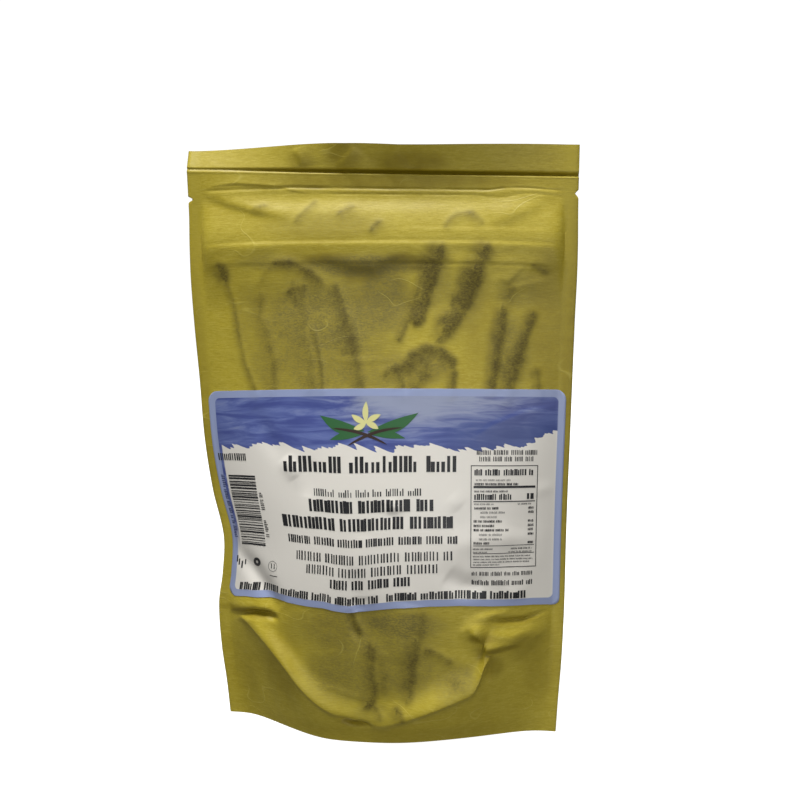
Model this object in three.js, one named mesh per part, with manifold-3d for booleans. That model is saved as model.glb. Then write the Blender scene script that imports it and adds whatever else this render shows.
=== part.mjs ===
// A shut stand-up pouch of vanilla pods: a rice-paper film pouch with a bottom gusset, a press-to-close
// zip, a heat-sealed header with tear notches, and a rectangular paper label on its front.
// Millimetres. X runs across the pack, Y from its front (-Y) to its back (+Y), Z up. The pack stands on
// the skirts of its two panels at Z = 0, with the origin under the middle of its box.
//
// A place on either panel is given on the flat film: `a` is the distance across the film from its middle,
// and `z` is the height above the floor. Where the pack swells, the film spans less than its flat width.

import * as THREE from 'three';
import { ParametricGeometry } from 'three/addons/geometries/ParametricGeometry.js';
import { mergeGeometries, mergeVertices } from 'three/addons/utils/BufferGeometryUtils.js';
import Module from 'manifold-3d';

// ---- Driving dimensions ----

const FLAT_WIDTH = 152; // width of the pouch laid flat
const SIDE_SEAL = 5; // width of the heat seal down each side
const FIN = 0.7; // thickness of a sealed edge, two films thick
const CROWN = 2.3; // power of the cross-section's crown: 2 is a parabola, more is flatter in the middle

// Level sections of the filled pack. Half-widths run from the middle of the header to each side edge,
// and front and back say how far each panel stands out from the plane of the side seals.
const SECTIONS = [
  { z: 0, left: 69.0, right: 70.3, front: 18.5, back: 19.0 },
  { z: 14, left: 69.6, right: 71.0, front: 20.0, back: 20.5 },
  { z: 31, left: 71.6, right: 71.8, front: 21.5, back: 22.5 },
  { z: 50, left: 72.0, right: 72.6, front: 22.5, back: 23.5 },
  { z: 64, left: 69.6, right: 72.9, front: 22.6, back: 23.5 },
  { z: 80, left: 68.4, right: 73.1, front: 21.6, back: 22.5 },
  { z: 100, left: 72.2, right: 73.5, front: 19.0, back: 20.0 },
  { z: 122, left: 74.7, right: 74.1, front: 15.2, back: 16.5 },
  { z: 145, left: 75.6, right: 74.7, front: 11.0, back: 12.5 },
  { z: 168, left: 76.8, right: 75.3, front: 7.4, back: 8.6 },
  { z: 186, left: 77.4, right: 75.9, front: 4.8, back: 5.6 },
  { z: 200, left: 77.3, right: 76.1, front: 3.4, back: 3.6 },
  { z: 211, left: 76.9, right: 76.0, front: 2.2, back: 2.2 },
  { z: 218, left: 76.6, right: 76.0, front: 0.35, back: 0.35 },
  { z: 238, left: 77.8, right: 76.0, front: 0.35, back: 0.35 },
];

// The bottom gusset is welded to each panel along a bow-shaped seam, low in the middle and up at the
// gusset's fold where it meets the side seals. Its right arm kinks where the pack is crumpled. Below the
// seam hang the skirts and the stiff corner flaps.
const SEAM = [
  { a: -76, z: 46.5 },
  { a: -64, z: 46.2 },
  { a: -51, z: 38.6 },
  { a: -42, z: 30.8 },
  { a: -35, z: 22.8 },
  { a: -27, z: 16.2 },
  { a: -18, z: 12.4 },
  { a: -1, z: 9.2 },
  { a: 16, z: 13.0 },
  { a: 28, z: 17.2 },
  { a: 38, z: 24.5 },
  { a: 44, z: 34.5 },
  { a: 50, z: 38.0 },
  { a: 60, z: 40.5 },
  { a: 69, z: 44.6 },
  { a: 76, z: 46.5 },
];
const SEAM_RIDGE = 2.2; // how far the seam stands proud of the panel
const RIDGE_ABOVE = 9; // height over which the ridge dies out above the seam
const RIDGE_BELOW = 2.5; // and below it
const SKIRT_THICKNESS = 0.8;
const GUSSET_SAG = 3; // how far the gusset hangs down between its two seams
const GUSSET_BELOW_SEAM = 1.5;

// The skirts stand on the floor in a bent line: a blunt front with a knee at each end, and straight flaps
// out to the side seals. Offsets are measured across the film.
const SKIRT_FRONT = { leftEnd: -68, leftKnee: -27, rightKnee: 8, rightEnd: 69, depth: 18 };
const SKIRT_BACK = { leftEnd: -68, leftKnee: -18, rightKnee: 20, rightEnd: 68, depth: 19 };
const KNEE_SOFTNESS = 2;
const FLAP_SOFTNESS = 1; // rounding where a flap runs into the side seal
const BASE_TWIST = 2.2; // the right bottom corner stands this far forward, the left one back
const TWIST_HEIGHT = 90; // height at which the twist has died out

// Zip: a flange pressed inside the film and a rib standing out along its middle.
const ZIP_LOW = 191.5;
const ZIP_HIGH = 205;
const ZIP_RIB = 198.6;
const ZIP_RIB_HEIGHT = 0.8;
const ZIP_RIB_WIDTH = 1.1;
const ZIP_FLANGE_HEIGHT = 0.35;
const ZIP_FLANGE_EDGE = 1; // half-width of the flange's rounded edge
const ZIP_HOLD = { depth: 1.9, starts: 172, fades: 204, gone: 220 }; // the zip holds the panels this far apart

// Header: a crease runs right across, and the two unsealed lips stand above it. It slopes down to the
// right, and the lips lean back at their left end.
const CREASE = 226.9;
const ZIP_SLOPE = { height: -1.1, from: 170, to: 195 }; // rise of the zip at the right edge against its middle
const CREASE_SLOPE = { height: -1.2, from: 218, to: CREASE }; // further rise of the crease there
const ARCH = { height: 3.2, full: 50, fades: 130, gone: 222 }; // lift of the film's middle against its edges
const CREASE_DEPTH = 0.6; // the crease is bent in by this, and the film just below it out by the ledge
const CREASE_WIDTH = 0.8;
const CREASE_LEDGE = 0.5;
const LEDGE_BELOW = 1.5; // middle of the ledge, below the crease
const LIP_HEIGHT = 11;
const LIP_TAPER = 0.1; // share of its height that the lip loses at the left edge
const LIP_GAP = 1.4; // between the two lips at their top edge
const LIP_THICKNESS = 0.5;
const LIP_LEAN = THREE.MathUtils.degToRad(28);
const LEAN_END = -0.25; // the lean has died out here, as a share of the half-width from the middle
const BACK_LIP_RISE = 0.8; // how far the back lip stands above the front one
const SLOT_FOOT = 1.5; // foot of the slot between the lips, above the crease
const NOTCH = { height: 217, depth: 2.4, mouth: 4.4 };

// Folds and puckers of the film: from and to on the flat film, half-width, and height (+ outward). They
// are highest halfway along and keep a share of it at their ends.
const FOLD_END_SHARE = 0.6;
const FRONT_FOLDS = [
  { from: [-74, 47.5], to: [-47, 48.5], width: 2.0, height: -1.8 }, // buckle over the left flap
  { from: [39, 51], to: [66, 50.5], width: 1.9, height: -1.6 }, // and over the right one
  { from: [50, 45], to: [66, 46.5], width: 2.0, height: 0.8 },
  { from: [-66, 219], to: [-41, 210.5], width: 3.0, height: -0.8 }, // pleats from the header's corners
  { from: [67, 215.5], to: [47, 207.5], width: 3.0, height: -0.8 },
];
const BACK_FOLDS = [
  { from: [-72, 48], to: [-42, 51], width: 2.2, height: -1.7 },
  { from: [46, 50], to: [73, 47], width: 2.2, height: -1.6 },
  { from: [-20, 60], to: [-34, 26], width: 4.0, height: -1.2 },
  { from: [24, 74], to: [32, 28], width: 4.0, height: -1.0 },
  { from: [-62, 215], to: [-34, 207], width: 3.0, height: -0.7 },
];

// Pods pressing on the film from inside, each a line on the flat film.
const POD_WIDTH = 4.2;
const POD_RELIEF = 0.9;
const FRONT_PODS = [
  [[-63, 188], [-58, 170], [-51, 143]],
  [[-45, 184], [-39, 190], [-31, 190], [-25, 185]],
  [[-18, 181], [-12, 164], [-7, 144]],
  [[22, 194], [18, 176], [9, 159]],
  [[40, 194], [34, 179], [25, 162]],
  [[61, 190], [49, 182], [47, 162], [45, 144]],
  [[59, 168], [51, 145]],
  [[8, 150], [17, 156], [25, 156], [30, 150], [28, 143]],
  [[-3, 37], [-1, 19]],
  [[17, 52], [12, 29], [11, 22]],
];
const BACK_PODS = [
  [[-52, 178], [-40, 120], [-30, 62]],
  [[-16, 186], [-10, 130], [-20, 66]],
  [[18, 184], [8, 126], [16, 60]],
  [[52, 176], [40, 118], [34, 64]],
];

// Label: a paper sticker following the front panel.
const LABEL_WIDTH = 145;
const LABEL_HEIGHT = 88;
const LABEL_BOTTOM = 53.3;
const LABEL_MIDDLE = 0.9; // the label sits this far right of the film's middle
const LABEL_CORNER = 4;
const LABEL_GAP = 0.3;
const LABEL_THICKNESS = 0.4;

// Mesh lines: columns across the film between the side seals, and rows up each panel.
const COLUMNS = 30;
const FLAP_ROWS = [0, 0.25, 0.5, 0.75, 0.93, 1]; // shares of the seam's height
const RISE_ROWS = [0.05, 0.13, 0.23, 0.35, 0.49, 0.65, 0.82, 1]; // from the seam up to RISE_TOP
const RISE_TOP = 62;
const BODY_ROWS = 18; // from RISE_TOP up to BODY_TOP
const BODY_TOP = 188;
const ZIP_ROWS = [190.5, 192.5, 195.5, 197.4, 198.6, 199.8, 203.5, 206.2];
const HEADER_ROWS = [209.5, 213, 216.5, 219.5, 223, 225.3, 226.2, 226.9, 227.6, 229.4, 233, CREASE + LIP_HEIGHT];
const SKIRT_STEPS = 4;
const GUSSET_STEPS = 4;
const OUTLINE_STEP = 7; // longest straight piece of the label's outline
const CORNER_POINTS = 5;
const CUTTER_DEPTH = 80; // depth, front to back, of the prisms that trim and notch
const CUTTER_MARGIN = 2; // how far a notch's prism starts outside the edge

// ---- The form of the film ----

const HALF = FLAT_WIDTH / 2;
const SEALED_AT = HALF - SIDE_SEAL; // where the side seal starts, across the film
const { lerp, smoothstep } = THREE.MathUtils;

const seamSpline = new THREE.CubicInterpolant(
  SEAM.map((point) => point.a),
  SEAM.map((point) => point.z),
  1,
);
const sectionSpline = new THREE.CubicInterpolant(
  SECTIONS.map((section) => section.z),
  SECTIONS.flatMap(({ left, right, front, back }) => [left, right, front, back]),
  4,
);

function sectionAt(z) {
  const [left, right, front, back] = sectionSpline.evaluate(z);
  return { left, right, front, back };
}

const bell = (distance, width) => Math.exp(-((distance / width) ** 2));

function softMin(softness, ...values) {
  return -softness * Math.log(values.reduce((sum, value) => sum + Math.exp(-value / softness), 0));
}

// Distance from a point to a run of straight pieces, and how far along it the nearest place is (0 to 1).
function nearestOnLine(a, z, line) {
  let best = { distance: Infinity, along: 0 };
  for (let i = 0; i < line.length - 1; i++) {
    const [a0, z0] = line[i];
    const [a1, z1] = line[i + 1];
    const along = ((a - a0) * (a1 - a0) + (z - z0) * (z1 - z0)) / ((a1 - a0) ** 2 + (z1 - z0) ** 2);
    const share = THREE.MathUtils.clamp(along, 0, 1);
    const distance = Math.hypot(a - lerp(a0, a1, share), z - lerp(z0, z1, share));
    if (distance < best.distance) best = { distance, along: (i + share) / (line.length - 1) };
  }
  return best;
}

function seamHeight(a) {
  return seamSpline.evaluate(a)[0];
}

// How far a skirt's foot stands out from the plane of the side seals.
function skirtFoot(a, skirt) {
  const { leftEnd, leftKnee, rightKnee, rightEnd, depth } = skirt;
  const leftFlap = (depth * (a - leftEnd)) / (leftKnee - leftEnd);
  const rightFlap = (depth * (rightEnd - a)) / (rightEnd - rightKnee);
  const foot = softMin(KNEE_SOFTNESS, leftFlap, rightFlap, depth);
  return -softMin(FLAP_SOFTNESS, -foot, 0);
}

function foldRelief(a, z, folds) {
  return folds.reduce((sum, { from, to, width, height }) => {
    const { distance, along } = nearestOnLine(a, z, [from, to]);
    const taper = lerp(FOLD_END_SHARE, 1, Math.sin(Math.PI * along));
    return sum + height * taper * bell(distance, width);
  }, 0);
}

function podRelief(a, z, pods) {
  const reliefs = pods.map((pod) => POD_RELIEF * bell(nearestOnLine(a, z, pod).distance, POD_WIDTH));
  return Math.max(...reliefs);
}

function zipRelief(z) {
  const past = (edge) => smoothstep(z, edge - ZIP_FLANGE_EDGE, edge + ZIP_FLANGE_EDGE);
  const flange = past(ZIP_LOW) * (1 - past(ZIP_HIGH));
  return ZIP_FLANGE_HEIGHT * flange + ZIP_RIB_HEIGHT * bell(z - ZIP_RIB, ZIP_RIB_WIDTH);
}

// How far a place lies from the middle of the film to the start of a side seal, from 0 to 1, and how open
// the pack is there: 1 over most of its width, falling to 0 at the side seals.
const towardsSeal = (a) => Math.min(1, Math.abs(a) / SEALED_AT);
const openness = (a) => 1 - towardsSeal(a) ** 6;

// How far a panel stands out from the plane of the side seals at a place on the film.
function standOut(a, z, panel) {
  const crowned = (height) => sectionAt(height)[panel.side] * (1 - towardsSeal(a) ** CROWN);
  const seam = seamHeight(a);
  const foot = skirtFoot(a, panel.skirt) * openness(a);
  const aboveSeam = z - seam;
  const swell = aboveSeam < 0 ? lerp(foot, crowned(seam), z / seam) : crowned(z);
  const ridge = SEAM_RIDGE * bell(aboveSeam, aboveSeam < 0 ? RIDGE_BELOW : RIDGE_ABOVE);
  const lipShare = THREE.MathUtils.clamp((z - CREASE) / LIP_HEIGHT, 0, 1);
  const lip = lipShare * (LIP_GAP / 2) + smoothstep(z, CREASE, CREASE + 1) * (LIP_THICKNESS - FIN / 2);
  const relief = ridge + lip + zipRelief(z) + foldRelief(a, z, panel.folds) + podRelief(a, z, panel.pods);
  const held = smoothstep(z, ZIP_HOLD.starts, ZIP_LOW) * (1 - smoothstep(z, ZIP_HOLD.fades, ZIP_HOLD.gone));
  return FIN / 2 + swell + (relief + ZIP_HOLD.depth * held) * openness(a);
}

const FRONT = { side: 'front', sign: -1, skirt: SKIRT_FRONT, folds: FRONT_FOLDS, pods: FRONT_PODS, lipRise: 0 };
const BACK = { side: 'back', sign: 1, skirt: SKIRT_BACK, folds: BACK_FOLDS, pods: BACK_PODS, lipRise: BACK_LIP_RISE };

// Places a point of the film in space: `out` is its distance from the plane of the side seals, + to the
// back. The header slopes down to the right, and its lips lean back at the left.
function place(a, z, out) {
  const { left, right } = sectionAt(z);
  const s = a / HALF;
  const x = s * (s < 0 ? left : right);
  const twist = -BASE_TWIST * s * (1 - smoothstep(z, 0, TWIST_HEIGHT));
  const risen = ({ height, from, to }) => height * smoothstep(z, from, to);
  const slope = s * (risen(ZIP_SLOPE) + risen(CREASE_SLOPE));
  const arch = ARCH.height * (1 - s ** 2) * smoothstep(z, 0, ARCH.full) * (1 - smoothstep(z, ARCH.fades, ARCH.gone));
  const leftShare = 1 - smoothstep(s, -1, LEAN_END);
  const lean = LIP_LEAN * leftShare;
  const lip = Math.max(0, z - CREASE) * (1 - LIP_TAPER * leftShare);
  const crease = CREASE_DEPTH * bell(z - CREASE, CREASE_WIDTH) - CREASE_LEDGE * bell(z - CREASE + LEDGE_BELOW, 1);
  const standing = Math.min(z, CREASE) + slope + arch;
  return new THREE.Vector3(x, twist + crease + out + lip * Math.sin(lean), standing + lip * Math.cos(lean));
}

function panelPoint(a, z, panel, offset = 0) {
  const point = place(a, z, panel.sign * (standOut(a, z, panel) + offset));
  point.z += panel.lipRise * openness(a) * smoothstep(z, CREASE, CREASE + LIP_HEIGHT);
  return point;
}

// Heights of the mesh rows at one column: they follow the seam near the floor and are level above it.
function rowHeights(a) {
  const seam = seamHeight(a);
  const body = Array.from({ length: BODY_ROWS }, (_, i) => lerp(RISE_TOP, BODY_TOP, (i + 1) / BODY_ROWS));
  return [
    ...FLAP_ROWS.map((share) => seam * share),
    ...RISE_ROWS.map((share) => lerp(seam, RISE_TOP, share)),
    ...body,
    ...ZIP_ROWS,
    ...HEADER_ROWS,
  ];
}

// The top edge of the pack at one column, from the front lip over the slot between the lips to the back.
function lipEdge(a) {
  const top = CREASE + LIP_HEIGHT;
  const slotFoot = place(a, lerp(top, CREASE + SLOT_FOOT, openness(a)), 0);
  const inner = (panel) => {
    const half = Math.max(0, standOut(a, top, panel) - LIP_THICKNESS) * openness(a);
    return place(a, top, panel.sign * half);
  };
  return [inner(FRONT), slotFoot, inner(BACK)];
}

// The underside at one column, from the foot of the back skirt up under the gusset to the front skirt.
// At the side seals the two skirts meet, and the sealed edges beyond have no hollow.
function underside(a, hollow) {
  if (!hollow) return Array(2 * SKIRT_STEPS + GUSSET_STEPS + 1).fill(place(a, 0, 0));
  const wall = (z, panel) => {
    const inner = standOut(a, z, panel) - lerp(FIN / 2, SKIRT_THICKNESS, openness(a));
    return panel.sign * Math.max(0, inner) * (openness(a) > 0 ? 1 : 0);
  };
  const roof = seamHeight(a) - GUSSET_BELOW_SEAM;
  const steps = Array.from({ length: SKIRT_STEPS }, (_, i) => (roof * i) / SKIRT_STEPS);
  const back = steps.map((z) => place(a, z, wall(z, BACK)));
  const front = steps.map((z) => place(a, z, wall(z, FRONT))).reverse();
  const gusset = Array.from({ length: GUSSET_STEPS + 1 }, (_, i) => {
    const across = lerp(wall(roof, BACK), wall(roof, FRONT), i / GUSSET_STEPS);
    const sag = GUSSET_SAG * Math.sin((Math.PI * i) / GUSSET_STEPS) * (1 - towardsSeal(a) ** 2);
    return place(a, roof - sag, across);
  });
  return [...back, ...gusset, ...front];
}

// One closed cross-section of the pack: up the front, over the lips, down the back, and underneath.
function crossSection(a, hollow) {
  const heights = rowHeights(a);
  const front = heights.map((z) => panelPoint(a, z, FRONT));
  const back = heights.map((z) => panelPoint(a, z, BACK)).reverse();
  return [...front, ...lipEdge(a), ...back, ...underside(a, hollow), front[0]];
}

// ---- Closed solids from the form ----

const wasm = await Module();
wasm.setup();

// Joins surface patches into one mesh with shared corners, and drops the triangles that have shrunk away.
function closeUp(patches) {
  const joined = mergeGeometries(patches);
  joined.deleteAttribute('normal');
  joined.deleteAttribute('uv');
  const merged = mergeVertices(joined, 1e-3);
  const corners = merged.index.array;
  const kept = [];
  for (let i = 0; i < corners.length; i += 3) {
    const [p, q, r] = corners.slice(i, i + 3);
    if (p !== q && q !== r && r !== p) kept.push(p, q, r);
  }
  merged.setIndex(kept);
  return merged;
}

function toManifold(geometry) {
  const indexed = geometry.index ? geometry : mergeVertices(geometry);
  return new wasm.Manifold(
    new wasm.Mesh({
      numProp: 3,
      vertProperties: new Float32Array(indexed.attributes.position.array),
      triVerts: new Uint32Array(indexed.index.array),
    }),
  );
}

function toGeometry(solid) {
  const mesh = solid.getMesh();
  const geometry = new THREE.BufferGeometry();
  geometry.setAttribute('position', new THREE.BufferAttribute(mesh.vertProperties, 3));
  geometry.setIndex(new THREE.BufferAttribute(mesh.triVerts, 1));
  return geometry;
}

// A surface through a grid of points, one list of points for each mesh column.
function gridSurface(columns) {
  const slices = columns.length - 1;
  const stacks = columns[0].length - 1;
  const at = (u, v, target) => target.copy(columns[Math.round(u * slices)][Math.round(v * stacks)]);
  return new ParametricGeometry(at, slices, stacks);
}

// A prism that runs right through the pack from front to back, with its outline drawn in X and Z.
function throughPrism(outline) {
  const geometry = new THREE.ExtrudeGeometry(outline, { depth: CUTTER_DEPTH, bevelEnabled: false });
  geometry.deleteAttribute('normal');
  geometry.deleteAttribute('uv');
  geometry.rotateX(Math.PI / 2).translate(0, CUTTER_DEPTH / 2, 0);
  return toManifold(mergeVertices(geometry));
}

const filmColumns = Array.from({ length: COLUMNS + 1 }, (_, i) => lerp(-SEALED_AT, SEALED_AT, i / COLUMNS));

// A V cut into one side edge of the header, where the pack is torn open.
function tearNotch(side) {
  const { height, depth, mouth } = NOTCH;
  const edge = place(side * HALF, height, 0);
  const outside = edge.x + side * CUTTER_MARGIN;
  const half = ((mouth / 2) * (depth + CUTTER_MARGIN)) / depth;
  const corners = [[outside, edge.z + half], [edge.x - side * depth, edge.z], [outside, edge.z - half]];
  return throughPrism(new THREE.Shape(corners.map(([x, z]) => new THREE.Vector2(x, z))));
}

function pouchSolid() {
  const body = gridSurface(filmColumns.map((a) => crossSection(a, true)));
  const leftFin = gridSurface([-HALF, -SEALED_AT].map((a) => crossSection(a, false)));
  const rightFin = gridSurface([SEALED_AT, HALF].map((a) => crossSection(a, false)));
  const edge = (a) => {
    const heights = rowHeights(a);
    const front = heights.map((z) => panelPoint(a, z, FRONT));
    const back = heights.map((z) => panelPoint(a, z, BACK));
    const middle = front.map((point, i) => point.clone().lerp(back[i], 0.5));
    return a < 0 ? [back, middle, front] : [front, middle, back];
  };
  const pouch = toManifold(closeUp([body, leftFin, rightFin, gridSurface(edge(-HALF)), gridSurface(edge(HALF))]));
  return pouch.subtract(tearNotch(-1)).subtract(tearNotch(1));
}

function roundedRectangle(middle, bottom, width, height, corner) {
  const [left, right, top] = [middle - width / 2, middle + width / 2, bottom + height];
  const shape = new THREE.Shape();
  shape.absarc(right - corner, bottom + corner, corner, -Math.PI / 2, 0);
  shape.absarc(right - corner, top - corner, corner, 0, Math.PI / 2);
  shape.absarc(left + corner, top - corner, corner, Math.PI / 2, Math.PI);
  shape.absarc(left + corner, bottom + corner, corner, Math.PI, 1.5 * Math.PI);
  return shape;
}

// The label's outline as seen from the front, with points close enough to follow the pack's narrowing.
function labelOutline() {
  const flat = roundedRectangle(LABEL_MIDDLE, LABEL_BOTTOM, LABEL_WIDTH, LABEL_HEIGHT, LABEL_CORNER).getPoints(
    CORNER_POINTS,
  );
  const dense = flat.flatMap((from, i) => {
    const to = flat[(i + 1) % flat.length];
    const pieces = Math.max(1, Math.round(from.distanceTo(to) / OUTLINE_STEP));
    return Array.from({ length: pieces }, (_, k) => from.clone().lerp(to, k / pieces));
  });
  const seen = dense.map((point) => place(point.x, point.y, 0));
  return new THREE.Shape(seen.map((point) => new THREE.Vector2(point.x, point.z)));
}

// A slab that follows the front panel on the pouch's own mesh lines, trimmed to the label's outline.
function labelSolid() {
  const middle = rowHeights(0);
  const sides = rowHeights(HALF);
  const firstRow = sides.findLastIndex((z) => z < LABEL_BOTTOM) - 1;
  const lastRow = middle.findIndex((z) => z > LABEL_BOTTOM + LABEL_HEIGHT);
  const columns = [-HALF, ...filmColumns, HALF];
  const loop = (a) => {
    const heights = rowHeights(a).slice(firstRow, lastRow + 1);
    const outer = heights.map((z) => panelPoint(a, z, FRONT, LABEL_GAP + LABEL_THICKNESS));
    const inner = heights.map((z) => panelPoint(a, z, FRONT, LABEL_GAP)).reverse();
    return { outer, inner, ring: [...outer, ...inner, outer[0]] };
  };
  const loops = columns.map(loop);
  const leftEnd = gridSurface([loops[0].inner.toReversed(), loops[0].outer]);
  const rightEnd = gridSurface([loops.at(-1).outer, loops.at(-1).inner.toReversed()]);
  const slab = toManifold(closeUp([gridSurface(loops.map(({ ring }) => ring)), leftEnd, rightEnd]));
  return slab.intersect(throughPrism(labelOutline()));
}

// ---- The pack ----

const film = new THREE.MeshStandardMaterial({ name: 'film', color: 0x9c8c37, roughness: 0.5, metalness: 0.15 });
const pouch = new THREE.Mesh(toGeometry(pouchSolid()), film);
pouch.name = 'pouch';

const paper = new THREE.MeshStandardMaterial({ name: 'label', color: 0xc4c4cc, roughness: 0.45, metalness: 0 });
const label = new THREE.Mesh(toGeometry(labelSolid()), paper);
label.name = 'label';

const pack = new THREE.Group();
pack.add(pouch, label);

// The origin goes under the middle of the pack's box.
const box = new THREE.Box3().setFromObject(pack);
const middle = box.getCenter(new THREE.Vector3());
pack.position.set(-middle.x, -middle.y, -box.min.z);

export default pack;
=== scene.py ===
import math
import random

import bmesh
import bpy
import numpy as np
from mathutils import Matrix, Vector


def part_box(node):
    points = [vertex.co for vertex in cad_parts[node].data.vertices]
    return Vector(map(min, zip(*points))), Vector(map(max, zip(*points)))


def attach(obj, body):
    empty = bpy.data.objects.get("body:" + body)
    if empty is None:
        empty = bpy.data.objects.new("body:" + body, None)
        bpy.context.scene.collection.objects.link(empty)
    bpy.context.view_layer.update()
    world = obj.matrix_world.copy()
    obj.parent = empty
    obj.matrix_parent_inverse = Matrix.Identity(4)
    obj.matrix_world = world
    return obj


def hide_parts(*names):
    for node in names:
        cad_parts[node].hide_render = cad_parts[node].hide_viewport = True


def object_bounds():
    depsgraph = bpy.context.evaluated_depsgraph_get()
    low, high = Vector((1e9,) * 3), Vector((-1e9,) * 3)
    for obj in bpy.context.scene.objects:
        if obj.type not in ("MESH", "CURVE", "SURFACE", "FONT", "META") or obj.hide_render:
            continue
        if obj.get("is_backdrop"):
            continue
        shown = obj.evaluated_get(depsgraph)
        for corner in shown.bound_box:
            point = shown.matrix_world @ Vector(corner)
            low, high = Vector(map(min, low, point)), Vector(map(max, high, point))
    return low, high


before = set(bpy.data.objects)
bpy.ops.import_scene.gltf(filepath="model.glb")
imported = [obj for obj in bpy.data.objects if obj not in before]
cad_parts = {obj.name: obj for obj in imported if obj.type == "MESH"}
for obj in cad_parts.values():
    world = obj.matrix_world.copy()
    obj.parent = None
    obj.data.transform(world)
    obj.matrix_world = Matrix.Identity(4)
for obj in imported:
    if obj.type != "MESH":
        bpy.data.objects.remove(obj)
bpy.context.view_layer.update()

# ---- The film pouch ----
# A stand-up pouch of gold rice-paper film: a front and a back panel heat-sealed down both sides, a bottom
# gusset welded in along a bow-shaped seam, a press-to-close zip, and a creased header whose two lips are
# left open above the factory seal. The pods inside press on the film and show through it.

# A place on either panel is given in millimetres on the flat film: `a` across it from its middle, and `z`
# as the height above the floor. Where the pack swells, the film spans less than its flat width.

MM = 0.001
FLAT_WIDTH = 152.0
HALF = FLAT_WIDTH / 2
SIDE_SEAL = 5.0
SEALED_AT = HALF - SIDE_SEAL
FIN = 0.7  # thickness of the sealed edges
FIN_ROUND = 0.3  # how far in from the side edges the fin comes to its thickness
CROWN = 2.3  # power of the cross-section's crown

# Level sections: height, half-widths to the left and right edge, and how far the front and back stand out.
LEVELS = np.array([
    (0, 69.5, 70.2, 18.5, 19.0),
    (14, 70.4, 71.0, 20.0, 20.5),
    (31, 71.9, 72.2, 21.5, 22.5),
    (50, 72.0, 73.0, 22.5, 23.5),
    (64, 69.6, 73.3, 22.6, 23.5),
    (80, 68.4, 73.5, 21.6, 22.5),
    (100, 72.2, 73.9, 19.0, 20.0),
    (122, 74.7, 74.5, 15.2, 16.5),
    (145, 75.6, 75.1, 11.0, 12.5),
    (168, 76.8, 75.7, 7.4, 8.6),
    (186, 77.4, 76.3, 4.8, 5.6),
    (200, 77.3, 76.5, 3.4, 3.6),
    (211, 76.9, 76.4, 2.2, 2.2),
    (218, 76.9, 76.4, 0.35, 0.35),
    (238, 77.1, 76.6, 0.35, 0.35),
])

# The gusset's seam, as places across the film and the height there: low in the middle, and at the gusset's
# fold where it meets the side seals. Its right arm kinks where the pack is crumpled.
SEAM = np.array([
    (-76, 46.5), (-64, 46.2), (-51, 38.6), (-42, 30.8), (-35, 22.8), (-27, 16.2), (-18, 12.4), (-1, 9.2),
    (8, 11.4), (16, 14.4), (22, 16.8), (28, 19.0), (34, 21.0), (39, 23.2), (41.5, 27.5), (43.5, 33.5),
    (46, 36.6), (50, 38.0), (60, 40.5), (69, 44.6), (76, 46.5),
])
SEAM_RIDGE = 2.4  # how far the seam stands proud of the panel
RIDGE_ABOVE = 6.0
RIDGE_BELOW = 2.4
SKIRT_THICKNESS = 0.8
GUSSET_SAG = 3.0
GUSSET_BELOW_SEAM = 1.5
HOLLOW_INSET = 1.5  # the hollow under the gusset ends this far in from the front skirt's right end

# Feet of the skirts: left end, left knee, right knee, right end, and how far the blunt middle stands out.
FRONT_SKIRT = (-68.0, -27.0, 8.0, 69.0, 18.0)
BACK_SKIRT = (-68.0, -18.0, 20.0, 68.0, 19.0)
KNEE_SOFTNESS = 2.0
BASE_TWIST = 2.2
TWIST_HEIGHT = 90.0

# How far the film's rows leave the level: they arch up over the swell, tilt down to the right at the zip
# and again under the crease, and drop at both ends of the zip. Each comes in or fades between two heights.
ROW_ARCH = 3.2
ARCH_RISES = (0, 50)
ARCH_FADES = (130, 222)
ZIP_TILT = 1.1
ZIP_TILTS = (170, 195)
HEADER_TILT = 2.1
HEADER_TILTS_FROM = 218
ZIP_END_DROP = 1.7
ZIP_END_DROPS_AT = 197

ZIP_LOW = 191.5
ZIP_HIGH = 205.0
ZIP_RIB = 198.6
ZIP_FLANGE = 0.22
ZIP_FLANGE_RIGHT = 0.12  # what the flange gains on the right
ZIP_ROLL = 0.1  # a soft roll under the flange, on the right
ZIP_UPPER_EDGE = 0.06
ZIP_UPPER_EDGE_RIGHT = 0.16  # what the upper edge gains on the right
RIB_HEIGHT = 0.36
RIB_GROOVE = 0.16
# The zip holds the panels apart, more so near its ends, and the film between these heights follows it.
ZIP_HOLD = 2.1
ZIP_END_HOLD = 1.1
HOLD_FOOT = 172.0
HOLD_TOP = 220.0

CREASE = 226.9
CREASE_LINE = 0.16  # depth of the fine line just under the crease
LIP_HEIGHT = 11.0
LIP_STANDING = 0.97  # share of a lip's flat height that stands up, less on the left and more on the right
LIP_TAPER = 0.22
LIP_RIGHT_RISE = 0.05
LIP_GAP = 1.4
LIP_THICKNESS = 0.5
LIP_LEAN = math.radians(26)
LEAN_END = -0.1
BACK_LIP_RISE = 0.3
CURL_SINK = 0.07  # how much the front lip sinks for the square of its curl
SLOT_FOOT = 1.5
# Each is a line of places across the film with the size there: how deep the crease under the lips is, how
# far the front lip curls out at its top edge, and the height of the lower edge of the header's seal.
CREASE_GAP = ((-76, -58, -40, -20, 5, 40, 76), (0.6, 0.6, 1.2, 1.9, 2.4, 2.1, 1.5))
LIP_CURL = (
    (-76, -46, -38, -31, -24, -19, -13, -6, 0, 8, 20, 36, 56, 76),
    (0.0, 0.1, 0.3, 0.8, 0.6, 1.2, 2.3, 2.0, 2.5, 3.4, 3.2, 2.4, 1.7, 1.4),
)
SEAL_EDGE = (
    (-76, -34, 0, 30, 42, 48, 54, 61, 71, 76),
    (219.8, 221.2, 220.7, 220.2, 219.9, 220.6, 220.8, 220.3, 219.2, 219.2),
)

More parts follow.
